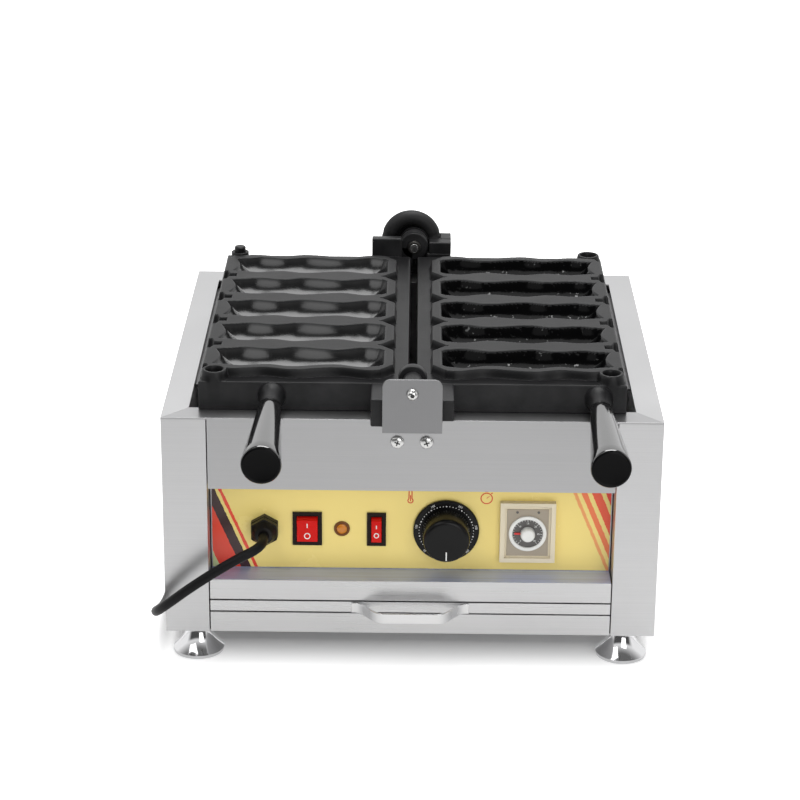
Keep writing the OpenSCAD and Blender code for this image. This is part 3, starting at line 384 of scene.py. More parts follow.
def second_finish(piece, material, chosen):
    """Gives some faces of a piece another finish."""
    piece.data.materials.append(material)
    faces = piece.data.polygons
    faces.foreach_set("material_index", [int(chosen(face)) for face in faces])


panel_steel = steel("panel steel", (0.60, 0.60, 0.605), 0.34)
rail_steel = steel("rail steel", (0.62, 0.62, 0.625), 0.30, (4.0, 4.0, 1200.0))
# The ledge's top takes a darker, half-metal copy of the steel, tinted blue so that the film's yellow
# reflection in it reads grey: painted shade and a painted correction of a reflection.
ledge_top_painted_shade = steel("ledge top painted shade", (0.51, 0.58, 0.85), 0.5, (4.0, 260.0, 260.0), 0.9, metal=0.5)
mill_steel = steel("mill steel", (0.5, 0.5, 0.505), 0.42, (40.0, 300.0, 40.0), 0.4)
for name in ("side_panel_left", "side_panel_right", "back_panel"):
    from_solid(name, panel_steel, "housing", "panel_steel", 0.55, 3)
# The apron is given a darker copy of the panel steel: painted shade for how dark its front looks in this
# light.
from_solid("front_apron", steel("apron steel painted shade", (0.46, 0.46, 0.465), 0.34), "housing", "panel_steel", 0.55, 3)
from_solid("bottom_rail", rail_steel, "housing", "panel_steel", 0.6, 3)
ledge = from_solid("ledge", rail_steel, "housing", "panel_steel", 0.6, 3)
# Upward faces get the painted-shade copy; the lip keeps the brighter rail steel.
second_finish(ledge, ledge_top_painted_shade, lambda face: face.normal.z > 0.7)


def dress(node, material):
    """Gives a solid that is right as it stands its finish."""
    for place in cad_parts[node].material_slots:
        place.material = material


for name in ("control_panel", "base_plate", "inner_shield", "plate_rests", "tray_runners"):
    dress(name, mill_steel)

# Front hinge
# A stainless angle bolted through the apron carries the front end of the hinge pin. Pan-head screws
# hold it, and a domed bolt head shows in the middle of its upright tab.
tab_steel = steel("tab steel", (0.28, 0.28, 0.285), 0.36, (900.0, 6.0, 6.0), 0.15)
bright_zinc = moulded("bright zinc", (0.72, 0.72, 0.71), 0.2, metal=1.0, grain=500, shift=0.15)
from_solid("front_hinge_bracket", tab_steel, "housing", "bracket_steel", 0.45, 3)
from_solid("front_pivot_nut", bright_zinc, "housing", "screw_zinc", 0.3)
from_solid("rear_pivot_bolt", bright_zinc, "housing", "screw_zinc", 0.35)
browned_steel = moulded("browned steel", (0.06, 0.058, 0.055), 0.42, metal=1.0, shift=0.3)
from_solid("rear_pivot_nut", browned_steel, "housing", "screw_zinc", 0.9, 3)
from_solid("bearing_screws", bright_zinc, "housing", "screw_zinc", 0.3)


def new_mesh(name, verts, faces):
    mesh = bpy.data.meshes.new(name)
    mesh.from_pydata(verts, [], faces)
    return mesh


def face_outward(mesh):
    work = bmesh.new()
    work.from_mesh(mesh)
    bmesh.ops.recalc_face_normals(work, faces=work.faces)
    work.to_mesh(mesh)
    work.free()


def turned(name, profile, material, place, axis="Z", steps=64, close=False):
    """A turned body: the profile is a list of radius and height in millimetres along its axis."""
    verts, faces, rings = [], [], []
    for radius, height in profile:
        if radius < 1e-6:
            rings.append([len(verts)])
            verts.append((0.0, 0.0, height))
        else:
            rings.append(list(range(len(verts), len(verts) + steps)))
            angles = [2 * math.pi * k / steps for k in range(steps)]
            verts += [(radius * math.cos(angle), radius * math.sin(angle), height) for angle in angles]
    pairs = list(zip(rings, rings[1:])) + ([(rings[-1], rings[0])] if close else [])
    for low, high in pairs:
        for k in range(steps):
            n = (k + 1) % steps
            if len(low) == len(high) == 1:
                continue
            if len(low) == 1:
                faces.append((low[0], high[n], high[k]))
            elif len(high) == 1:
                faces.append((low[k], low[n], high[0]))
            else:
                faces.append((low[k], low[n], high[n], high[k]))
    lay = {"Z": lambda x, y, z: (x, y, z),
           "Y": lambda x, y, z: (-x, z, y),
           "-Y": lambda x, y, z: (x, -z, y)}[axis]
    mesh = new_mesh(name, [place + Vector(lay(*v)) * MM for v in verts], faces)
    face_outward(mesh)
    piece = add_piece(name, mesh, material)
    mesh.set_sharp_from_angle(angle=math.radians(32))
    return piece


def join(name, *parts):
    """Makes one object of several, with their modifiers worked in."""
    graph = bpy.context.evaluated_depsgraph_get()
    meshes = [bpy.data.meshes.new_from_object(part.evaluated_get(graph)) for part in parts]
    for part in parts:
        bpy.data.objects.remove(part)
    work = bmesh.new()
    materials = []
    for part_mesh in meshes:
        slots = []
        for material in part_mesh.materials:
            if material not in materials:
                materials.append(material)
            slots.append(materials.index(material))
        before = len(work.faces)
        work.from_mesh(part_mesh)
        work.faces.ensure_lookup_table()
        for face in work.faces[before:]:
            face.material_index = slots[face.material_index]
        bpy.data.meshes.remove(part_mesh)
    mesh = bpy.data.meshes.new(name)
    work.to_mesh(mesh)
    work.free()
    for material in materials:
        mesh.materials.append(material)
    return even_flats(add_object(name, mesh))


def brick(name, low, high, material, width=0.4, segments=2):
    """A block between two corners in millimetres, with broken edges."""
    a, b = at(*low), at(*high)
    verts = [(x, y, z) for z in (a.z, b.z) for y in (a.y, b.y) for x in (a.x, b.x)]
    faces = [(0, 2, 3, 1), (4, 5, 7, 6), (0, 1, 5, 4), (2, 6, 7, 3), (0, 4, 6, 2), (1, 3, 7, 5)]
    return soften(add_piece(name, new_mesh(name, verts, faces), material), width, segments)


PIVOT_Z, BOLT_Y, SCREW_X, SCREW_Z = 262.7, -25, 12.4, 210
DOME = [(0, 4.1), (1.6, 4.0), (3.0, 3.5), (4.2, 2.5), (4.9, 1.2), (5.3, 0.6), (5.35, 0.0), (4, 0)]
bolt_dome = turned("bolt_dome", DOME, bright_zinc, at(0, BOLT_Y, PIVOT_Z), "-Y")
# The dark disc in the dome and the dark crosses in the pan heads are painted shade, standing where the real
# socket and slots are hollows.
socket_painted_shade = moulded("bolt recess painted shade", (0.05, 0.05, 0.05), 0.5, metal=0.6)
socket_shade_disc = turned("socket_shade_disc", [(0, 4.45), (1.5, 4.45), (1.9, 4.2), (1.9, 3.6), (0, 3.6)],
                     socket_painted_shade, at(0, BOLT_Y, PIVOT_Z), "-Y", 6)
bolt_shank = turned("bolt_shank", [(0, -0.2), (4, -0.2), (4, -44.2), (3.4, -44.8), (0, -44.8)], bright_zinc,
                    at(0, BOLT_Y, PIVOT_Z), "-Y", 40)
finish_piece(join("front_bolt_piece", bolt_dome, socket_shade_disc, bolt_shank), "housing", "screw_zinc",
             "front_pivot_bolt")

screw_parts = []
for side in (-1, 1):
    spot = at(side * SCREW_X, 0, SCREW_Z)
    head = [(0, 3.15), (2.4, 3.1), (4.2, 2.7), (5.3, 1.9), (5.9, 0.8), (6, 0), (3, 0), (3, -9.5), (0, -9.5)]
    screw_parts.append(turned("pan_head", head, bright_zinc, spot, "-Y", 40))
    # Each cross slot is a dark block: painted shade in place of a recess.
    for angle in (0.35 * side, 0.35 * side + math.pi / 2):
        verts = []
        for y in (-3.3, -1.6):
            for u, v in ((-2.5, -0.55), (2.5, -0.55), (2.5, 0.55), (-2.5, 0.55)):
                across = u * math.cos(angle) - v * math.sin(angle)
                verts.append(spot + Vector((across, y, u * math.sin(angle) + v * math.cos(angle))) * MM)
        faces = [(0, 1, 2, 3), (7, 6, 5, 4), (0, 4, 5, 1), (1, 5, 6, 2), (2, 6, 7, 3), (3, 7, 4, 0)]
        screw_parts.append(add_piece("cross", new_mesh("cross", verts, faces), socket_painted_shade, False))
    screw_parts.append(turned("screw_nut", [(3.2, 3.5), (6, 3.5), (6, 8.4), (3.2, 8.4)], bright_zinc,
                              spot, "Y", 6, True))
finish_piece(join("bracket_screw_piece", *screw_parts), "housing", "screw_zinc", "bracket_screws")

# Feet
# Chromed bell feet, pressed and polished, screwed up against the base plate on their studs.
foot_chrome = moulded("foot chrome", (0.78, 0.78, 0.79), 0.09, metal=1.0, grain=300, depth=0.000006,
                      shift=0.06, rough_shift=0.06)
FOOT_RADIUS, FOOT_NECK, FOOT_HEIGHT, FOOT_LIP, STUD_LENGTH, FOOT_INSET = 22.4, 9.5, 30.0, 3.5, 10.3, 26.0
HALF_WIDTH, BODY_DEPTH = 212.5, 392.0
for name, side, along in (("foot_front_left", -1, FOOT_INSET), ("foot_front_right", 1, FOOT_INSET),
                          ("foot_rear_left", -1, BODY_DEPTH - FOOT_INSET),
                          ("foot_rear_right", 1, BODY_DEPTH - FOOT_INSET)):
    bell = [(0, 0.0), (FOOT_RADIUS - 1.2, 0.0), (FOOT_RADIUS - 0.3, 0.4)]
    bell += [(FOOT_RADIUS, 1.3), (FOOT_RADIUS, 2.8)]
    bell += [(FOOT_NECK + (FOOT_RADIUS - FOOT_NECK) * (1 - t / 20) ** 2.3,
              FOOT_LIP + (FOOT_HEIGHT - FOOT_LIP) * t / 20) for t in range(21)]
    bell += [(6, FOOT_HEIGHT), (4, FOOT_HEIGHT)]
    bell += [(4, FOOT_HEIGHT + STUD_LENGTH), (0, FOOT_HEIGHT + STUD_LENGTH)]
    foot = turned(name + "_bell", bell, foot_chrome, at(side * (HALF_WIDTH - FOOT_INSET), along, 0), "Z", 72)
    nut = turned(name + "_nut", [(4.1, 31.5), (7.9, 31.5), (7.9, 37.4), (4.1, 37.4)], bright_zinc,
                 at(side * (HALF_WIDTH - FOOT_INSET), along, 0), "Z", 6, True)
    finish_piece(join(name + "_piece", foot, nut), "housing", "foot_chrome", name)

# Mould plates
# Two aluminium castings with a dark non-stick coat. Each has five long moulds inside raised rims, a
# locating ring or peg at its corners, lugs for the hinge pin and a flared boss for its grip.
CAST_ROUGH, CAST_SHINE = 0.36, 0.2


def casting(name, lining=None):
    """The coat of a casting. The lining is the colour and roughness of its moulds and the weight of the
    film of grease in them, which a mask in the mesh fades in."""
    # Its lighter convex edges are partly wear and partly a painted edge highlight.
    material = moulded(name, (0.007, 0.007, 0.0075), CAST_ROUGH, grain=1400, depth=0.00006, shift=0.45,
                       rough_shift=0.16, marks=30, wear_and_highlight=((0.06, 0.06, 0.062), 0.9), shine=CAST_SHINE)
    if lining:
        tree = material.node_tree
        surface = tree.nodes["Principled BSDF"]
        mask = tree.nodes.new("ShaderNodeAttribute")
        mask.attribute_name = "mould"
        mask = mask.outputs["Fac"]
        base, rough = surface.inputs["Base Color"], surface.inputs["Roughness"]
        tree.links.new(mix_node(tree, mask, base.links[0].from_socket, lining[0]), base)
        change = times(tree, mask, lining[1] - CAST_ROUGH)
        tree.links.new(plus(tree, rough.links[0].from_socket, change), rough)
        tree.links.new(times(tree, mask, lining[2]), surface.inputs["Coat Weight"])
        surface.inputs["Coat Roughness"].default_value = lining[1]
    return material


cast_coat = casting("cast coat")
worn_casting = casting("worn casting", ((0.003, 0.003, 0.0032), 0.2, 0.75))
fresh_mould = moulded("fresh mould", (0.0015, 0.0015, 0.0016), 0.13, grain=500, depth=0.00004, shift=0.4,
                      rough_shift=0.08, marks=60, shine=0.04)
fresh_tree = fresh_mould.node_tree
coords = fresh_tree.nodes.new("ShaderNodeTexCoord")
grease = noise_node(fresh_tree, coords.outputs["Object"], 240.0, 3.0)
fresh_tree.links.new(map_node(fresh_tree, grease, 0.64, 0.7, 0.0, 1.0),
                     fresh_tree.nodes["Principled BSDF"].inputs["Coat Weight"])
PLATE_IN, PLATE_OUT, PLATE_FRONT, PLATE_REAR, MOULD_MIDDLE = 3.3, 181.8, 20.0, 368.0, 190.0
SLAB_LOW, SLAB_TOP, RIM_TOP = 230.4, 255.0, 262.55
MOULD_FROM, MOULD_TO, MOULD_PITCH, MOULD_DEPTH, RIM_FROM, RIM_LENGTH = 24.6, 171.6, 63.0, 15.0, 16.6, 163.0
MOULD_KEYS = [(0, 17), (0.03, 21.5), (0.12, 24.2), (0.29, 18.2), (0.54, 23.8), (0.68, 19.2), (0.84, 22.6),
              (0.95, 19.6), (1, 18.4)]
EAR_DIP, LAND_FROM, LAND_TO = 5.0, 30.6, 173.6
RING_X, RING_RADIUS, RING_HOLE, PEG_RADIUS, PEG_HEIGHT = 168.8, 10.5, 7.2, 5.4, 5.2
RING_FRONT, RING_REAR, REAR_KNUCKLE = PLATE_FRONT + RING_RADIUS + 1, PLATE_REAR - RING_RADIUS - 1, 13.4
OUTLINE_STEPS, CELL, DRAFT, ROUND = 60, 0.72, 1.3, 1.3


def mould_half(t):
    """Half the width of a mould at a share t of its length, from the hinge side outwards."""
    for (t0, w0), (t1, w1) in zip(MOULD_KEYS, MOULD_KEYS[1:]):
        if t <= t1 or t1 == 1:
            share = min(1.0, max(0.0, (t - t0) / (t1 - t0)))
            return w0 + (w1 - w0) * (1 - math.cos(math.pi * share)) / 2


def mould_line():
    top = []
    for k in range(OUTLINE_STEPS + 1):
        t = k / OUTLINE_STEPS
        top.append((MOULD_FROM + (MOULD_TO - MOULD_FROM) * t, mould_half(t)))
    tip = mould_half(1)
    end = [(MOULD_TO - EAR_DIP * (1 - (k / 6 - 1) ** 2), tip * (1 - k / 6)) for k in range(1, 12)]
    return np.array(top + end + [(x, -y) for x, y in reversed(top)])


def rim_line():
    top = []
    for k in range(OUTLINE_STEPS + 1):
        t = k / OUTLINE_STEPS
        half = 18 + 190 * t if t < 0.06 else 20.0 if t > 0.97 else mould_half(t) + 8.0
        top.append((RIM_FROM + RIM_LENGTH * t, min(half, mould_half(max(t, 0.03)) + 8.0)))
    return np.array(top + [(x, -y) for x, y in reversed(top)])


def inside_distance(px, py, line):
    """Distance to a closed outline in millimetres: above zero inside it, below zero outside."""
    best = np.full(px.shape, 1e9)
    inside = np.zeros(px.shape, bool)
    for (ax, ay), (bx, by) in zip(line, np.roll(line, -1, axis=0)):
        dx, dy = bx - ax, by - ay
        size = dx * dx + dy * dy
        if size < 1e-9:
            continue
        share = np.clip(((px - ax) * dx + (py - ay) * dy) / size, 0, 1)
        best = np.minimum(best, (px - ax - share * dx) ** 2 + (py - ay - share * dy) ** 2)
        crosses = ((ay > py) != (by > py)) & (px < (bx - ax) * (py - ay) / (by - ay + 1e-12) + ax)
        inside ^= crosses
    return np.where(inside, 1.0, -1.0) * np.sqrt(best)


def ramp(value, low, high):
    share = np.clip((value - low) / (high - low), 0, 1)
    return share * share * (3 - 2 * share)


def plate_heights(px, py, rings):
    """Height of the plate's upper side, as the pattern maker's casting has it."""
    number = np.clip(np.round((py - MOULD_MIDDLE) / MOULD_PITCH), -2, 2)
    own = py - MOULD_MIDDLE - number * MOULD_PITCH
    rim = inside_distance(px, own, rim_line())
    other = np.where(own > 0, own - MOULD_PITCH, own + MOULD_PITCH)
    next_exists = np.abs(number + np.sign(own)) <= 2
    rim = np.maximum(rim, np.where(next_exists, inside_distance(px, other, rim_line()), -9))
    land = np.minimum(px - LAND_FROM, LAND_TO - 6 - px)
    rim = np.maximum(rim, np.minimum(land, 2 * MOULD_PITCH - np.abs(py - MOULD_MIDDLE)))
    for ring_y in rings:
        rim = np.maximum(rim, RING_RADIUS - np.hypot(px - RING_X, py - ring_y))
    height = SLAB_TOP + (RIM_TOP - SLAB_TOP) * ramp(rim, -DRAFT, DRAFT * 0.4)
    deep = inside_distance(px, own, mould_line())
    share = np.clip((px - MOULD_FROM) / (MOULD_TO - MOULD_FROM), 0, 1)
    half = np.interp(share, np.linspace(0, 1, 121), [mould_half(k / 120) for k in range(121)])
    floor = MOULD_DEPTH * (0.78 + 0.22 * np.clip((half - 17.5) / 6.5, 0, 1))
    steep = 1 - np.clip(1 - deep / np.maximum(half - 0.5, 12), 0, 1) ** 2.7
    height -= floor * steep * ramp(deep, -0.35, 0.6)
    for ring_y in rings:
        hole = RING_HOLE - np.hypot(px - RING_X, py - ring_y)
        height = np.where(hole > -0.6, RIM_TOP - (PEG_HEIGHT + 2) * ramp(hole, -0.5, 0.5), height)
    dent = np.hypot((px - 176.2) / 1.5, own / 4.0)
    height -= np.where(rim < -DRAFT, 0.9 * (1 - ramp(dent, 0.55, 1.1)), 0)
    return height, deep


def plate_shell(name, side, rings):
    """The casting's slab as a closed shell: the sculpted upper side, square sides and a flat back."""
    nx = int(round((PLATE_OUT - PLATE_IN) / CELL)) + 1
    ny = int(round((PLATE_REAR - PLATE_FRONT) / CELL)) + 1
    xs, ys = np.linspace(PLATE_IN, PLATE_OUT, nx), np.linspace(PLATE_FRONT, PLATE_REAR, ny)
    px, py = np.meshgrid(xs, ys)
    height, deep = plate_heights(px, py, rings)
    border = np.minimum.reduce([px - PLATE_IN, PLATE_OUT - px, py - PLATE_FRONT, PLATE_REAR - py])
    height -= ROUND * (1 - np.sqrt(np.clip(1 - (1 - np.clip(border / ROUND, 0, 1)) ** 2, 0, 1)))
    verts = [(side * x * MM, y * MM + FRONT_Y, z * MM)
             for x, y, z in zip(px.ravel(), py.ravel(), height.ravel())]
    faces = []
    for j in range(ny - 1):
        row = j * nx
        faces += [(row + i, row + i + 1, row + nx + i + 1, row + nx + i) for i in range(nx - 1)]
    rim_loop = list(range(nx)) + [j * nx + nx - 1 for j in range(1, ny)]
    rim_loop += [(ny - 1) * nx + i for i in range(nx - 2, -1, -1)] + [j * nx for j in range(ny - 2, 0, -1)]
    low = {}
    for k in rim_loop:
        low[k] = len(verts)
        verts.append((verts[k][0], verts[k][1], SLAB_LOW * MM))
    for a, b in zip(rim_loop, rim_loop[1:] + rim_loop[:1]):
        faces.append((b, a, low[a], low[b]))
    faces.append([low[k] for k in reversed(rim_loop)])
    mesh = new_mesh(name, verts, faces)
    face_outward(mesh)
    piece = add_piece(name, mesh, worn_casting if side < 0 else cast_coat)
    count = nx * ny
    lower = np.zeros(len(mesh.vertices) - count)
    if side > 0:
        inner = np.append(deep.ravel() > 0.5, lower).tolist()
        second_finish(piece, fresh_mould, lambda face: all(inner[v] for v in face.vertices))
    mask = mesh.attributes.new("mould", "FLOAT", "POINT")
    mask.data.foreach_set("value", np.append(ramp(deep, -0.2, 2.0).ravel(), lower))
    sharp = mesh.attributes.new("sharp_edge", "BOOLEAN", "EDGE")
    sharp.data.foreach_set("value", [min(edge.vertices) >= count for edge in mesh.edges])
    return piece


GRIP_Z, BOSS_LENGTH, GRIP_LENGTH = 242.7, 26.0, 127.0
GRIP_NARROW, GRIP_WIDE, LEFT_GRIP_X, RIGHT_GRIP_X = 9.4, 16.5, -119.5, 158.0
PIN_BORE, WEB_LOW, WEB_TOP = 4.08, 242, 261.7


def pin_bar(name, y1, y2, radius, rounding):
    """A bored disc or bar of a casting, round the hinge pin."""
    long, corner = y2 - y1, 0.3 * rounding
    profile = [(PIN_BORE, 0), (radius - rounding, 0), (radius - corner, corner), (radius, rounding)]
    profile += [(radius, long - rounding), (radius - corner, long - corner)]
    profile += [(radius - rounding, long), (PIN_BORE, long)]
    return turned(name, profile, cast_coat, at(0, y1, PIVOT_Z), "Y", 56, True)


def side_brick(name, side, x1, x2, y1, y2, z1, z2, width=1.0):
    low, high = sorted((side * x1, side * x2))
    return brick(name, (low, y1, z1), (high, y2, z2), cast_coat, width, 3)


def grip_boss(name, x):
    """The boss flares out of the plate's front face and narrows to the grip."""
    flare = [(0, -2), (12, -2), (12, 0.2), (12, 1.6), (11.4, 3.6), (10.4, 7), (9.7, 11), (9.2, 17),
             (8.9, 23), (8.8, 25.2), (8.4, 25.9), (0, 25.9)]
    return turned(name, flare, cast_coat, at(x, PLATE_FRONT, GRIP_Z), "-Y", 64)


left_parts = [
    plate_shell("left_shell", -1, [RING_FRONT]),
    side_brick("left_front_arm", -1, 12, 35, -17.6, 21, SLAB_LOW, SLAB_TOP, 1.6),
    side_brick("left_front_web", -1, 1, 14, 9.2, 17.4, WEB_LOW, WEB_TOP),
    pin_bar("left_front_disc", 9.2, 17.4, 12.2, 1.4),
    side_brick("left_rear_arm", -1, 12, 35, 367, 384.6, SLAB_LOW, SLAB_TOP, 1.6),
    side_brick("left_rear_web", -1, 1, 14, 377, 384.6, WEB_LOW, WEB_TOP),
    pin_bar("left_rear_knuckle", 377, 384.6, REAR_KNUCKLE, 1.4),
    side_brick("left_cheek", -1, 12, 41, 368.5, 378.1, SLAB_TOP - 1.4, PIVOT_Z + 10.2, 1.4),
    turned("left_peg", [(8.4, SLAB_TOP - 1), (8.4, RIM_TOP - 0.6), (7.8, RIM_TOP), (PEG_RADIUS, RIM_TOP),
                        (PEG_RADIUS, RIM_TOP + PEG_HEIGHT - 1), (PEG_RADIUS - 1, RIM_TOP + PEG_HEIGHT),
                        (0, RIM_TOP + PEG_HEIGHT)], cast_coat, at(-RING_X, RING_REAR, 0), "Z", 48),
    grip_boss("left_grip_boss", LEFT_GRIP_X)]
finish_piece(join("left_plate_piece", *left_parts), "left_mould", "black_casting", "left_plate")
right_parts = [
    plate_shell("right_shell", 1, [RING_FRONT, RING_REAR]),
    side_brick("right_front_arm", 1, 12, 35, -17.6, 21, SLAB_LOW + 5.4, SLAB_TOP, 1.6),
    side_brick("right_front_web", 1, 1, 14, -17.6, 8.8, WEB_LOW, WEB_TOP),
    pin_bar("right_front_knuckle", -17.6, 8.8, 8.2, 1.6),
    side_brick("right_rear_arm", 1, 12, 35, 378.6, 392.2, SLAB_LOW, SLAB_TOP, 1.4),
    side_brick("right_rear_low", 1, 12, 35, 367, 380, SLAB_LOW, 251.3, 1.0),
    side_brick("right_rear_web", 1, 1, 14, 385, 392.2, WEB_LOW, WEB_TOP),
    pin_bar("right_rear_knuckle", 385, 392.2, REAR_KNUCKLE, 1.4),
    side_brick("right_rear_block", 1, 14.5, 36, 379.1, 392.2, SLAB_TOP - 1.4, PIVOT_Z + 3.3, 1.2),
    grip_boss("right_grip_boss", RIGHT_GRIP_X)]
finish_piece(join("right_plate_piece", *right_parts), "right_mould", "black_casting", "right_plate")

# Grips
# Tapered grips turned from black phenolic and polished, screwed on the casting's bosses. The lacquer
# stops at the edge of the end face, which is duller.
grip_polish = moulded("grip polish", (0.002, 0.002, 0.0022), 0.16, grain=300, depth=0.000006, shift=0.3,
                      rough_shift=0.08, marks=25, shine=0.1, coat=1.0)
grip_polish.node_tree.nodes["Principled BSDF"].inputs["Coat IOR"].default_value = 2.0
grip_end = moulded("grip end", (0.002, 0.002, 0.0022), 0.3, grain=300, depth=0.000006, shift=0.3,
                   marks=25, shine=0.1)
END_Y = at(0, PLATE_FRONT - BOSS_LENGTH - GRIP_LENGTH + 0.7, 0).y
for name, x, body in (("left_grip", LEFT_GRIP_X, "left_mould"), ("right_grip", RIGHT_GRIP_X, "right_mould")):
    shape = [(0, 0), (GRIP_NARROW - 1.0, 0), (GRIP_NARROW - 0.3, 0.3), (GRIP_NARROW, 1.2)]
    shape += [(GRIP_NARROW + (GRIP_WIDE - GRIP_NARROW) * t / 10, 1.2 + (GRIP_LENGTH - 3.9) * t / 10)
              for t in range(1, 11)]
    shape += [(GRIP_WIDE - 0.12, GRIP_LENGTH - 1.8), (GRIP_WIDE - 0.7, GRIP_LENGTH - 0.8),
              (GRIP_WIDE - 1.5, GRIP_LENGTH - 0.25), (GRIP_WIDE - 2.5, GRIP_LENGTH),
              (GRIP_WIDE - 3.4, GRIP_LENGTH - 0.35), (0, GRIP_LENGTH - 0.35)]
    grip = turned(name + "_piece", shape, grip_polish, at(x, PLATE_FRONT - BOSS_LENGTH, GRIP_Z), "-Y", 96)
    second_finish(grip, grip_end, lambda face: face.center.y < END_Y)
    finish_piece(grip, body, "grip_bakelite", name)

# Rear hinge
# A black painted cast bearing bolted on the back panel, with the sleeve that carries the heater leads
# over the hinge pin in one arch.
# Its lighter convex edges are partly wear and partly a painted edge highlight.
bracket_paint = moulded("bracket paint", (0.008, 0.008, 0.0085), 0.42, grain=900, depth=0.00005, shift=0.4,
                        wear_and_highlight=((0.05, 0.05, 0.05), 0.6), shine=0.25)
from_solid("rear_bearing", bracket_paint, "housing", "black_bracket", 0.8, 3, 40)
sleeve_rubber = moulded("sleeve rubber", (0.014, 0.014, 0.0145), 0.55, grain=1300, depth=0.00006,
                        shift=0.5, marks=60, shine=0.3)
ARCH_RADIUS, SLEEVE_RADIUS, ARCH_X, ARCH_Y = 21.8, 7.2, -3.0, 402.4
verts, faces, rings, sides = [], [], 49, 32
for i in range(rings):
    turn = math.pi * i / (rings - 1)
    swell = SLEEVE_RADIUS - (0.35 if i in (3, 4, rings - 5, rings - 4) else 0.0)
    for k in range(sides):
        around = 2 * math.pi * k / sides
        reach = ARCH_RADIUS + swell * math.cos(around)
        verts.append(at(ARCH_X + reach * math.cos(turn), ARCH_Y + swell * math.sin(around),
                        PIVOT_Z + reach * math.sin(turn)))
for i in range(rings - 1):
    faces += [(i * sides + k, i * sides + (k + 1) % sides, (i + 1) * sides + (k + 1) % sides,
               (i + 1) * sides + k) for k in range(sides)]
faces += [tuple(range(sides))[::-1], tuple((rings - 1) * sides + k for k in range(sides))]
sleeve = add_piece("lead_sleeve_piece", new_mesh("lead_sleeve_piece", verts, faces), sleeve_rubber)
sleeve.data.set_sharp_from_angle(angle=math.radians(50))
finish_piece(sleeve, "housing", "sleeve_rubber", "lead_sleeve")

# Control panel's overlay
# A printed polyester film on the recessed steel panel: cream yellow, with slanted bars of black, red and
# pale green at one end and red bars at the other, and two plain symbols over the dial and the timer.
CONTROL_Z, FACE_Y = 118.0, 25.4
FILM_YELLOW, FILM_GREEN, FILM_BLACK = (0.93, 0.74, 0.235), (0.62, 0.70, 0.36), (0.05, 0.02, 0.02)
LEFT_RED = (0.85, 0.07, 0.035)
PRINT = 0.06                             # how far a printed line stands out, so that it shows
LEFT_BARS = [(0.034, FILM_GREEN), (0.018, LEFT_RED), (0.009, FILM_BLACK), (0.003, FILM_YELLOW),
             (0.003, LEFT_RED)]
RIGHT_BARS = [(0.037, (0.85, 0.05, 0.025)), (0.004, FILM_YELLOW), (0.008, (0.86, 0.10, 0.04)),
              (0.004, FILM_YELLOW), (0.005, (0.88, 0.20, 0.07)), (0.004, FILM_YELLOW),
              (0.003, (0.88, 0.36, 0.12))]


def printed_film():
    material, tree, surface = shader("printed film")
    coords = tree.nodes.new("ShaderNodeTexCoord")
    split = tree.nodes.new("ShaderNodeSeparateXYZ")
    tree.links.new(coords.outputs["Object"], split.inputs[0])
    soft = noise_node(tree, coords.outputs["Object"], 350.0, 3.0)
    ragged = times(tree, minus(tree, soft, 0.5), 0.0014)

    def bars(slant, level, colours, direction):
        """Slanted bars one after the other; each entry is a width in metres and its colour."""
        rising = times(tree, minus(tree, split.outputs["Z"], level), slant)
        run = plus(tree, plus(tree, times(tree, split.outputs["X"], direction), rising), ragged)
        layer, edge = FILM_YELLOW, -0.200
        for width, colour in colours:
            mask = times(tree, math_node(tree, "GREATER_THAN", run, edge),
                         math_node(tree, "LESS_THAN", run, edge + width))
            layer = mix_node(tree, mask, layer, colour)
            edge += width
        return layer

    half = math_node(tree, "GREATER_THAN", split.outputs["X"], 0.0)
    sheet = mix_node(tree, half, bars(0.42, 0.080, LEFT_BARS, 1.0), bars(-0.42, 0.165, RIGHT_BARS, -1.0))
    skin = place_group(tree, SKIN, Colour_shift=0.05, Roughness=0.26, Roughness_shift=0.08, Grain_size=700.0,
                       Mark_size=14.0)
    tree.links.new(sheet, skin.inputs["Colour"])
    tree.links.new(skin.outputs["Colour"], surface.inputs["Base Color"])
    tree.links.new(skin.outputs["Roughness"], surface.inputs["Roughness"])
    bump(tree, surface, skin.outputs["Height"], 0.00001)
    return material


dress("panel_overlay", printed_film())


def band(points, width, closed, place):
    """Corners and long faces of a thin flat band along points given across and up. The function place
    puts each corner, from its two measures and whether it lies on the band's outer side."""
    count = len(points)
    verts, faces = [], []
    for i, (u, v) in enumerate(points):
        before_u, before_v = points[(i - 1) % count] if closed or i else (u, v)
        after_u, after_v = points[(i + 1) % count] if closed or i < count - 1 else (u, v)
        size = math.hypot(after_u - before_u, after_v - before_v)
        off_u, off_v = -(after_v - before_v) / size * width / 2, (after_u - before_u) / size * width / 2
        verts += [place(u + sign * off_u, v + sign * off_v, outer) for sign in (-1, 1) for outer in (0, 1)]
    for i in range(count if closed else count - 1):
        a, b = 4 * i, 4 * ((i + 1) % count)
        faces += [(a + 1, a + 3, b + 3, b + 1), (a, a + 1, b + 1, b), (a + 3, a + 2, b + 2, b + 3),
                  (a + 2, a, b, b + 2)]
    return verts, faces


def ribbon(name, points, width, material, y, closed=False):
    """A printed line on a flat upright surface."""
    verts, faces = band(points, width, closed, lambda x, z, outer: at(x, y - PRINT * outer, z))
    end = len(verts)
    if not closed:
        faces += [(0, 2, 3, 1), (end - 4, end - 3, end - 1, end - 2)]
    return add_piece(name, new_mesh(name, verts, faces), material, False)


def circle_points(x, z, radius, start=0, end=360, steps=40):
    angles = [math.radians(start + (end - start) * k / steps) for k in range(steps + 1)]
    return [(x + radius * math.cos(angle), z + radius * math.sin(angle)) for angle in angles]


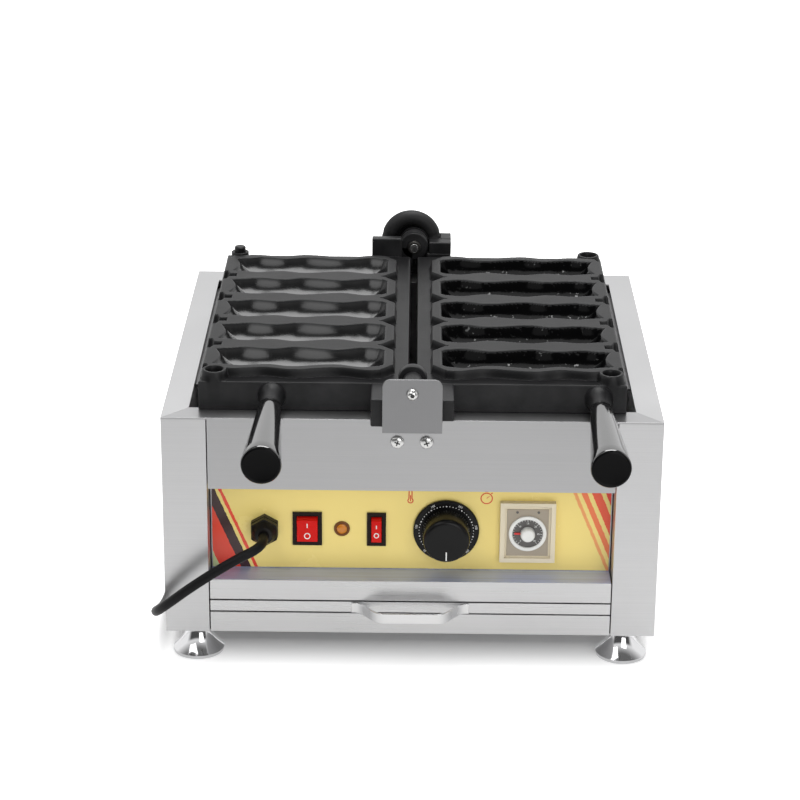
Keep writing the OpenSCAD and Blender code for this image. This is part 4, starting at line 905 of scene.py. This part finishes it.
symbol_ink = moulded("symbol ink", (0.68, 0.07, 0.012), 0.4, grain=600, shift=0.05)
SYMBOL_Z, THERMOMETER_X, WATCH_X = 148.7, -0.8, 65.0
thermometer = [(-1.2, 4.2)] + circle_points(0, 4.6, 1.3, 170, 10, 10)
thermometer += [(1.3, -1.6)] + circle_points(0, -3.6, 2.2, 50, -230, 22)
symbols = (("symbol_a", THERMOMETER_X, thermometer, 1.0, True),
           ("symbol_b", THERMOMETER_X, [(0, -4.2), (0, 1.5)], 1.0, False),
           ("symbol_c", WATCH_X, circle_points(0, -0.8, 4.9)[:-1], 1.0, True),
           ("symbol_d", WATCH_X, [(0, -0.8), (2.4, 1.4)], 0.6, False),
           ("symbol_e", WATCH_X, [(-1.5, 5.6), (1.5, 5.6)], 1.1, False),
           ("symbol_f", WATCH_X, [(3.9, 3.5), (5.0, 4.6)], 1.0, False))
marks = [ribbon(name, [(middle + x, SYMBOL_Z + z) for x, z in points], width, symbol_ink, FACE_Y, closed)
         for name, middle, points, width, closed in symbols]
finish_piece(join("overlay_symbols", *marks), "housing", "overlay_print")

# Rocker switches
# Snap-in switches: a dark glossy frame round a red rocker, with a line for on and a ring for off
# filled in with white.
switch_moulding = moulded("switch moulding", (0.012, 0.006, 0.005), 0.28, grain=900, shift=0.2, shine=0.15)
rocker_red = moulded("rocker red", (0.66, 0.008, 0.006), 0.24, grain=500, depth=0.000008, shift=0.12,
                     shine=0.16)
red_surface = rocker_red.node_tree.nodes["Principled BSDF"]
red_surface.inputs["Subsurface Weight"].default_value = 0.15
red_surface.inputs["Subsurface Radius"].default_value = (0.004, 0.0008, 0.0006)
mark_white = moulded("mark white", (0.85, 0.85, 0.83), 0.4, grain=600, shift=0.04)
ROCKER_TILT, ROCKER_HALF, ROCKER_VALLEY, ROCKER_END = math.radians(9), 11.7, 2.6, 5.0
for name, x, size in (("power", -90.0, 1.0), ("alarm", -30.0, 0.82)):
    from_solid(name + "_switch_frame", switch_moulding, "housing", "switch_black", 0.5, 3)
    from_solid(name + "_rocker", rocker_red, name + "_rocker", "rocker_red", 0.5, 3)

    def on_face(u, v, outer):
        """A point on the rocker's face: u across, v up from its valley, before the tilt."""
        rise = ROCKER_VALLEY + (ROCKER_END - ROCKER_VALLEY) / ROCKER_HALF * abs(v)
        y = -rise - (PRINT if outer else -0.02)
        turned_y = y * math.cos(ROCKER_TILT) - v * math.sin(ROCKER_TILT)
        turned_z = y * math.sin(ROCKER_TILT) + v * math.cos(ROCKER_TILT)
        return at(x + u, FACE_Y - 1 + turned_y, CONTROL_Z + turned_z)

    line = band([(0, 2.6 * size), (0, 7.6 * size)], 0.9, False, on_face)
    circle = band(circle_points(0, -5.4 * size, 2.4 * size, steps=32)[:-1], 0.8, True, on_face)
    bar = add_piece("line_mark", new_mesh("line_mark", *line), mark_white, False)
    ring = add_piece("ring_mark", new_mesh("ring_mark", *circle), mark_white, False)
    finish_piece(join(name + "_rocker_marks", bar, ring), name + "_rocker", "rocker_red")

# Indicator lamp
# A round neon lamp: a moulded amber bezel that snaps into the panel, with a flat faceted lens.
lamp_moulding = moulded("lamp moulding", (0.16, 0.055, 0.010), 0.3, grain=700, shift=0.2, shine=0.3)
lens_amber, lens_tree, lens_surface = shader("lens amber")
skin = place_group(lens_tree, SKIN, Colour=(0.62, 0.21, 0.015), Colour_shift=0.3, Roughness=0.14,
                   Roughness_shift=0.05, Grain_size=300.0, Mark_size=260.0)
lens_tree.links.new(skin.outputs["Colour"], lens_surface.inputs["Base Color"])
lens_tree.links.new(skin.outputs["Roughness"], lens_surface.inputs["Roughness"])
lens_surface.inputs["Subsurface Weight"].default_value = 0.1
lens_surface.inputs["Subsurface Radius"].default_value = (0.004, 0.002, 0.0004)
lens_surface.inputs["Coat Weight"].default_value = 0.2
bump(lens_tree, lens_surface, skin.outputs["Height"], 0.00002)


def panel_turned(name, profile, material, x, z, steps, close=False):
    """A turned body that stands out from the front of the control panel."""
    return turned(name, profile, material, at(x, FACE_Y, z), "-Y", steps, close)


LAMP_X = -60.0
BEZEL = [(4.7, -12), (4.7, 1.1), (5.1, 1.5), (6.3, 1.5), (6.8, 1.2), (7, 0.6), (7, 0), (5.5, 0), (5.5, -20),
         (0, -20), (0, -12)]
LENS = [(0, 2.45), (1.2, 2.4), (2.6, 2.15), (3.8, 1.75), (4.45, 1.3), (4.55, 0.6), (4.55, -11.9), (0, -11.9)]
bezel = panel_turned("lamp_bezel_piece", BEZEL, lamp_moulding, LAMP_X, CONTROL_Z, 64)
finish_piece(bezel, "housing", "lamp_ring", "lamp_bezel")
lens = panel_turned("lamp_lens_piece", LENS, lens_amber, LAMP_X, CONTROL_Z, 48)
finish_piece(lens, "housing", "lamp_amber", "lamp_lens")

# Thermostat dial
# A knob moulded in one with its skirt, black and glossy. Its scale of dots and plain numbers is printed
# on the skirt, and the thick grip is drawn down to a pointer at its lower side.
dial_black = moulded("dial black", (0.005, 0.005, 0.005), 0.24, grain=900, depth=0.00001, shift=0.25,
                     shine=0.2)
DIAL_X, DIAL_START, DIAL_SWEEP, DOT_CIRCLE, NUMBER_CIRCLE = 30.5, 225, 270, 23.6, 26.1
KNOB_RADIUS, DIAL_REACH, SKIRT_FACE = 21.3, 27.0, 4.0
SKIRT = [(0, 1.0), (28.0, 1.0), (28.5, 1.3), (28.7, 1.9), (28.4, 3.2), (27.6, 3.9), (22, SKIRT_FACE),
         (0, SKIRT_FACE)]
KNOB = [(0.0, 3.6, 0), (0.0, 4.4, 0), (1.1, -5.0, 1), (1.5, -3.0, 1), (2.3, -1.6, 1), (3.6, -0.6, 1),
        (5.4, -0.1, 1), (8.0, -0.4, 1), (KNOB_RADIUS, -0.9, 1), (KNOB_RADIUS, 3.6, 0)]
knob_profile = [(KNOB_RADIUS - inset, height + DIAL_REACH * high) for inset, height, high in KNOB]
SPINDLE = [(0, 1), (3, 1), (3, -16.1), (0, -16.1)]
scale_parts = [panel_turned("skirt", SKIRT, dial_black, DIAL_X, CONTROL_Z, 96),
               panel_turned("knob", knob_profile, dial_black, DIAL_X, CONTROL_Z, 96),
               panel_turned("spindle", SPINDLE, bright_zinc, DIAL_X, CONTROL_Z, 32)]
dots = circle_points(DIAL_X, CONTROL_Z, DOT_CIRCLE, DIAL_START, DIAL_START - DIAL_SWEEP, 40)
for k, (x, z) in enumerate(dots):
    wide = 0.62 if k % 5 == 0 else 0.4
    dot = [(0, SKIRT_FACE + 0.12), (wide, SKIRT_FACE + 0.1), (wide, SKIRT_FACE - 0.05)]
    scale_parts.append(panel_turned("dot", dot, mark_white, x, z, 12))


def number(text, x, y, z, size, turn=0.0):
    """A printed number, standing upright in front of the panel."""
    writing = bpy.data.curves.new("number", "FONT")
    writing.body = text
    writing.size = size * MM
    writing.align_x, writing.align_y = "CENTER", "CENTER"
    writing.extrude = 0.00003
    carrier = add_object("number", writing)
    bpy.context.view_layer.update()
    graph = bpy.context.evaluated_depsgraph_get()
    mesh = bpy.data.meshes.new_from_object(carrier.evaluated_get(graph))
    bpy.data.objects.remove(carrier)
    mesh.transform(Matrix.Translation(at(x, y, z)) @ Matrix.Rotation(-turn, 4, "Y")
                   @ Matrix.Rotation(math.pi / 2, 4, "X"))
    return add_piece("number", mesh, mark_white, False)


for k in range(6):
    angle = math.radians(DIAL_START - DIAL_SWEEP * k / 5)
    scale_parts.append(number(str(50 * (k + 1)), DIAL_X + NUMBER_CIRCLE * math.cos(angle),
                              FACE_Y - SKIRT_FACE - 0.05, CONTROL_Z + NUMBER_CIRCLE * math.sin(angle),
                              2.7, angle - math.pi / 2))
scale_parts.append(brick("pointer", (DIAL_X - 0.5, FACE_Y - DIAL_REACH + 0.05, CONTROL_Z - 17.5),
                         (DIAL_X + 0.5, FACE_Y - DIAL_REACH + 0.8, CONTROL_Z - 9.5), mark_white, 0.1, 1))
finish_piece(join("thermostat_knob_piece", *scale_parts), "thermostat_knob", "dial_black", "thermostat_knob")

# Timer
# A plug-in panel timer: a beige bezel, a grey-brown face with a white scale ring, and a small white knob
# with a red pointer over a dark scale.
timer_beige = moulded("timer beige", (0.74, 0.66, 0.49), 0.3, grain=800, shift=0.08)
timer_face = moulded("timer face", (0.36, 0.31, 0.24), 0.35, grain=700, shift=0.1)
scale_dark = moulded("scale dark", (0.10, 0.095, 0.09), 0.4, grain=700, shift=0.2)
knob_white = moulded("knob white", (0.80, 0.80, 0.77), 0.25, grain=500, shift=0.05, coat=0.3)
pointer_red = moulded("pointer red", (0.70, 0.03, 0.03), 0.3, grain=500, shift=0.1)
from_solid("timer_case", timer_beige, "housing", "timer_beige", 0.7, 3)
TIMER_X, TIMER_Z, SCALE_FACE = 101.0, CONTROL_Z - 1, 3.9
TIMER_START, TIMER_SWEEP, TICK_END = 230, 280, 12.8
SCALE_RING = [(13.2, 3.4), (13.2, 5.0), (13.8, 5.5), (15.8, 5.5), (16.4, 5.0), (16.4, 3.4)]
SCALE_PLATE = [(2.3, 3.4), (2.3, SCALE_FACE), (13.3, SCALE_FACE), (13.3, 3.4)]
face_parts = [brick("face_card", (TIMER_X - 18.0, FACE_Y - 3.5, CONTROL_Z - 22.5),
                    (TIMER_X + 18.0, FACE_Y - 2.9, CONTROL_Z + 21.5), timer_face, 0.2),
              panel_turned("scale_ring", SCALE_RING, knob_white, TIMER_X, TIMER_Z, 80, True),
              panel_turned("scale_plate", SCALE_PLATE, scale_dark, TIMER_X, TIMER_Z, 64, True)]
for k in range(25):
    angle = math.radians(TIMER_START - TIMER_SWEEP * k / 24)
    length = 1.9 if k % 4 == 0 else 1.1
    ends = [(TIMER_X + r * math.cos(angle), TIMER_Z + r * math.sin(angle))
            for r in (TICK_END - length, TICK_END)]
    face_parts.append(ribbon("tick", ends, 0.3, mark_white, FACE_Y - SCALE_FACE))
for k, (x, z) in enumerate(circle_points(TIMER_X, TIMER_Z, 9.3, TIMER_START, TIMER_START - TIMER_SWEEP, 6)):
    face_parts.append(number(str(5 * k), x, FACE_Y - SCALE_FACE - 0.05, z, 2.3))
for side in (-1, 1):
    face_parts.append(panel_turned("pip", [(0, 4.0), (1.1, 3.9), (1.2, 3.5)], scale_dark,
                                   TIMER_X + side * 9.2, CONTROL_Z + 18.6, 20))
finish_piece(join("timer_face_piece", *face_parts), "housing", "timer_beige")
HUB = [(0, 11), (3.4, 10.9), (5.2, 10.4), (6.0, 9.4), (6.3, 8.0), (6.3, 4.3), (2, 4.3), (2, -10), (0, -10)]
hub = panel_turned("timer_hub", HUB, knob_white, TIMER_X, TIMER_Z, 48)
hand = brick("timer_hand", (TIMER_X - 11.6, FACE_Y - 5.3, TIMER_Z - 0.9),
             (TIMER_X - 5.0, FACE_Y - 4.4, TIMER_Z + 0.9), pointer_red, 0.25)
finish_piece(join("timer_knob_piece", hub, hand), "timer_knob", "timer_white", "timer_knob")

# Electrics behind the panel
# Bought-in parts that the closed housing hides: thermostat, relay, buzzer and terminals.
part_moulding = moulded("part moulding", (0.16, 0.15, 0.14), 0.5, grain=900, shift=0.3)
for name in ("thermostat", "relay", "buzzer", "terminal_block"):
    dress(name, part_moulding)

# Cord gland
# A black nylon gland: a locknut behind the panel, a hexagon in front and a domed clamping nut that grips
# the cord. Its hexagons stand on a corner, a twelfth of a turn from the solids.
gland_nylon = moulded("gland nylon", (0.008, 0.007, 0.0065), 0.36, grain=1200, depth=0.00003, shift=0.4,
                      shine=0.2)
GLAND_X = -127.0
gland_axis = at(GLAND_X, FACE_Y, CONTROL_Z)
corner_up = (Matrix.Translation(gland_axis) @ Matrix.Rotation(math.pi / 6, 4, "Y")
             @ Matrix.Translation(-gland_axis))
from_solid("cord_gland", gland_nylon, "housing", "gland_black", 0.6, 3, 40).data.transform(corner_up)
DOMED_NUT = [(4.5, 18.4), (6.4, 18.4), (7.6, 17.9), (8.6, 16.4), (9.6, 14.4), (10.8, 12.4), (11.0, 11.6),
             (4.5, 11.6)]
COLLAR = [(4.5, 6.0), (13.0, 6.0), (13.0, 12.0), (4.5, 12.0)]
dome = panel_turned("gland_dome", DOMED_NUT, gland_nylon, GLAND_X, CONTROL_Z, 64, True)
collar = panel_turned("gland_collar", COLLAR, gland_nylon, GLAND_X, CONTROL_Z, 6, True)
soften(collar, 0.7, 3)
collar.data.transform(corner_up)
finish_piece(join("gland_nut_piece", dome, collar), "housing", "gland_black", "gland_nut")

# Crumb tray
# A shallow steel drawer under the housing with a polished strap handle spot-welded on its front.
tray_steel = steel("tray steel", (0.64, 0.64, 0.645), 0.28, (4.0, 4.0, 1200.0))
strap_polish = steel("strap polish", (0.72, 0.72, 0.725), 0.12, (6.0, 6.0, 600.0), 0.1)
dress("crumb_tray", mill_steel)
from_solid("tray_front", tray_steel, "tray", "panel_steel", 0.4, 2)
from_solid("tray_handle", strap_polish, "tray", "pull_steel", 0.55, 3, 20)

# Heaters
# Sheathed elements bent to and fro under each plate, held up by a clamp plate on studs.
sheath = moulded("heater sheath", (0.16, 0.155, 0.15), 0.5, metal=1.0, grain=800, shift=0.5)
for side in ("left", "right"):
    dress(side + "_heater", sheath)
    dress(side + "_heater_clamp", mill_steel)
    dress(side + "_clamp_nuts", bright_zinc)

# Studio
# A pale floor that glows away from the machine, which paints a shadow under it, and soft light from large
# sources, as for a catalogue picture.
floor_mesh = new_mesh("floor", [(-6, -6, 0), (6, -6, 0), (6, 6, 0), (-6, 6, 0)], [(0, 1, 2, 3)])
floor = add_object("floor", floor_mesh)
floor_paint, floor_tree, floor_surface = shader("floor paint")
floor_surface.inputs["Roughness"].default_value = 0.7
floor_surface.inputs["Specular IOR Level"].default_value = 0.2
path = floor_tree.nodes.new("ShaderNodeLightPath")
# Reflections see the floor darker than the camera does: painted shade in reflections.
floor_tree.links.new(map_node(floor_tree, path.outputs["Is Glossy Ray"], 0.0, 1.0, 0.93, 0.7),
                     floor_surface.inputs["Base Color"])
floor_surface.inputs["Emission Color"].default_value = (1, 1, 1, 1)
# The floor's glow seen by the camera is nothing at the machine and strong away from it: a painted shadow,
# darkest at the machine and near white away from it. The spread is the distance in metres from a rectangle
# under the housing.
UNDER_MIDDLE, UNDER_HALF = (0, 0.0745, 0), (0.175, 0.1555, 0)
spread = floor_tree.nodes.new("ShaderNodeTexCoord").outputs["Object"]
for operation, value in (("SUBTRACT", UNDER_MIDDLE), ("ABSOLUTE", None), ("SUBTRACT", UNDER_HALF),
                         ("MAXIMUM", (0, 0, 0)), ("LENGTH", None)):
    step = floor_tree.nodes.new("ShaderNodeVectorMath")
    step.operation = operation
    floor_tree.links.new(spread, step.inputs[0])
    if value:
        step.inputs[1].default_value = value
    spread = step.outputs["Value" if operation == "LENGTH" else "Vector"]
# Glow for camera rays, rising away from the machine: the painted shadow round it.
painted_shadow_glow = times(floor_tree, path.outputs["Is Camera Ray"],
               map_node(floor_tree, spread, 0.012, 0.09, 0.0, 0.8))
# Glow for glossy rays near the machine: a painted light that only reflections see.
painted_glow_in_reflections = times(floor_tree, path.outputs["Is Glossy Ray"],
                 map_node(floor_tree, spread, 0.1, 0.5, 0.25, 0.0))
floor_tree.links.new(plus(floor_tree, painted_shadow_glow, painted_glow_in_reflections), floor_surface.inputs["Emission Strength"])
floor_mesh.materials.append(floor_paint)

world = bpy.data.worlds.new("studio")
bpy.context.scene.world = world
world.use_nodes = True
sky = world.node_tree
sky.nodes.clear()
lit, shown = sky.nodes.new("ShaderNodeBackground"), sky.nodes.new("ShaderNodeBackground")
lit.inputs["Strength"].default_value = 0.46
for background in (lit, shown):
    background.inputs["Color"].default_value = (1, 1, 1, 1)
heading = sky.nodes.new("ShaderNodeSeparateXYZ")
sky.links.new(sky.nodes.new("ShaderNodeTexCoord").outputs["Generated"], heading.inputs[0])
rays = sky.nodes.new("ShaderNodeLightPath")
# The room behind the camera is dark low down, as the polished parts show it
overhead = map_node(sky, heading.outputs["Z"], 0.45, 0.8, 1.0, 0.15)
behind = times(sky, map_node(sky, heading.outputs["Y"], -0.1, -0.5, 0.0, 1.0),
               map_node(sky, heading.outputs["Z"], 0.5, 0.38, 0.0, 1.0))
mirrored = times(sky, overhead, minus(sky, 1.0, times(sky, behind, 0.92)))
sky.links.new(map_node(sky, rays.outputs["Is Glossy Ray"], 0.0, 1.0, 1.0, mirrored), shown.inputs["Strength"])
open_rays = rays.outputs["Is Camera Ray"]
for ray in ("Is Glossy Ray", "Is Transmission Ray"):
    open_rays = math_node(sky, "MAXIMUM", open_rays, rays.outputs[ray])
blend = sky.nodes.new("ShaderNodeMixShader")
sky.links.new(open_rays, blend.inputs[0])
sky.links.new(lit.outputs[0], blend.inputs[1])
sky.links.new(shown.outputs[0], blend.inputs[2])
sky.links.new(blend.outputs[0], sky.nodes.new("ShaderNodeOutputWorld").inputs[0])

for name, place, aim, size, power in (("key", (-1.0, -1.2, 1.9), (0, 0, 0.2), 1.2, 9),
                                      ("fill", (0.7, -1.9, 0.8), (0, 0, 0.12), 1.2, 9.5),
                                      ("above", (0.1, 0.5, 2.2), (0, 0, 0.2), 1.6, 48)):
    light = bpy.data.lights.new(name, "AREA")
    light.shape = "SQUARE"
    light.size = size
    light.energy = power
    lamp = add_object(name, light)
    lamp.location = place
    lamp.rotation_euler = (Vector(aim) - Vector(place)).to_track_quat("-Z", "Y").to_euler()

bpy.context.scene.view_settings.view_transform = "Standard"
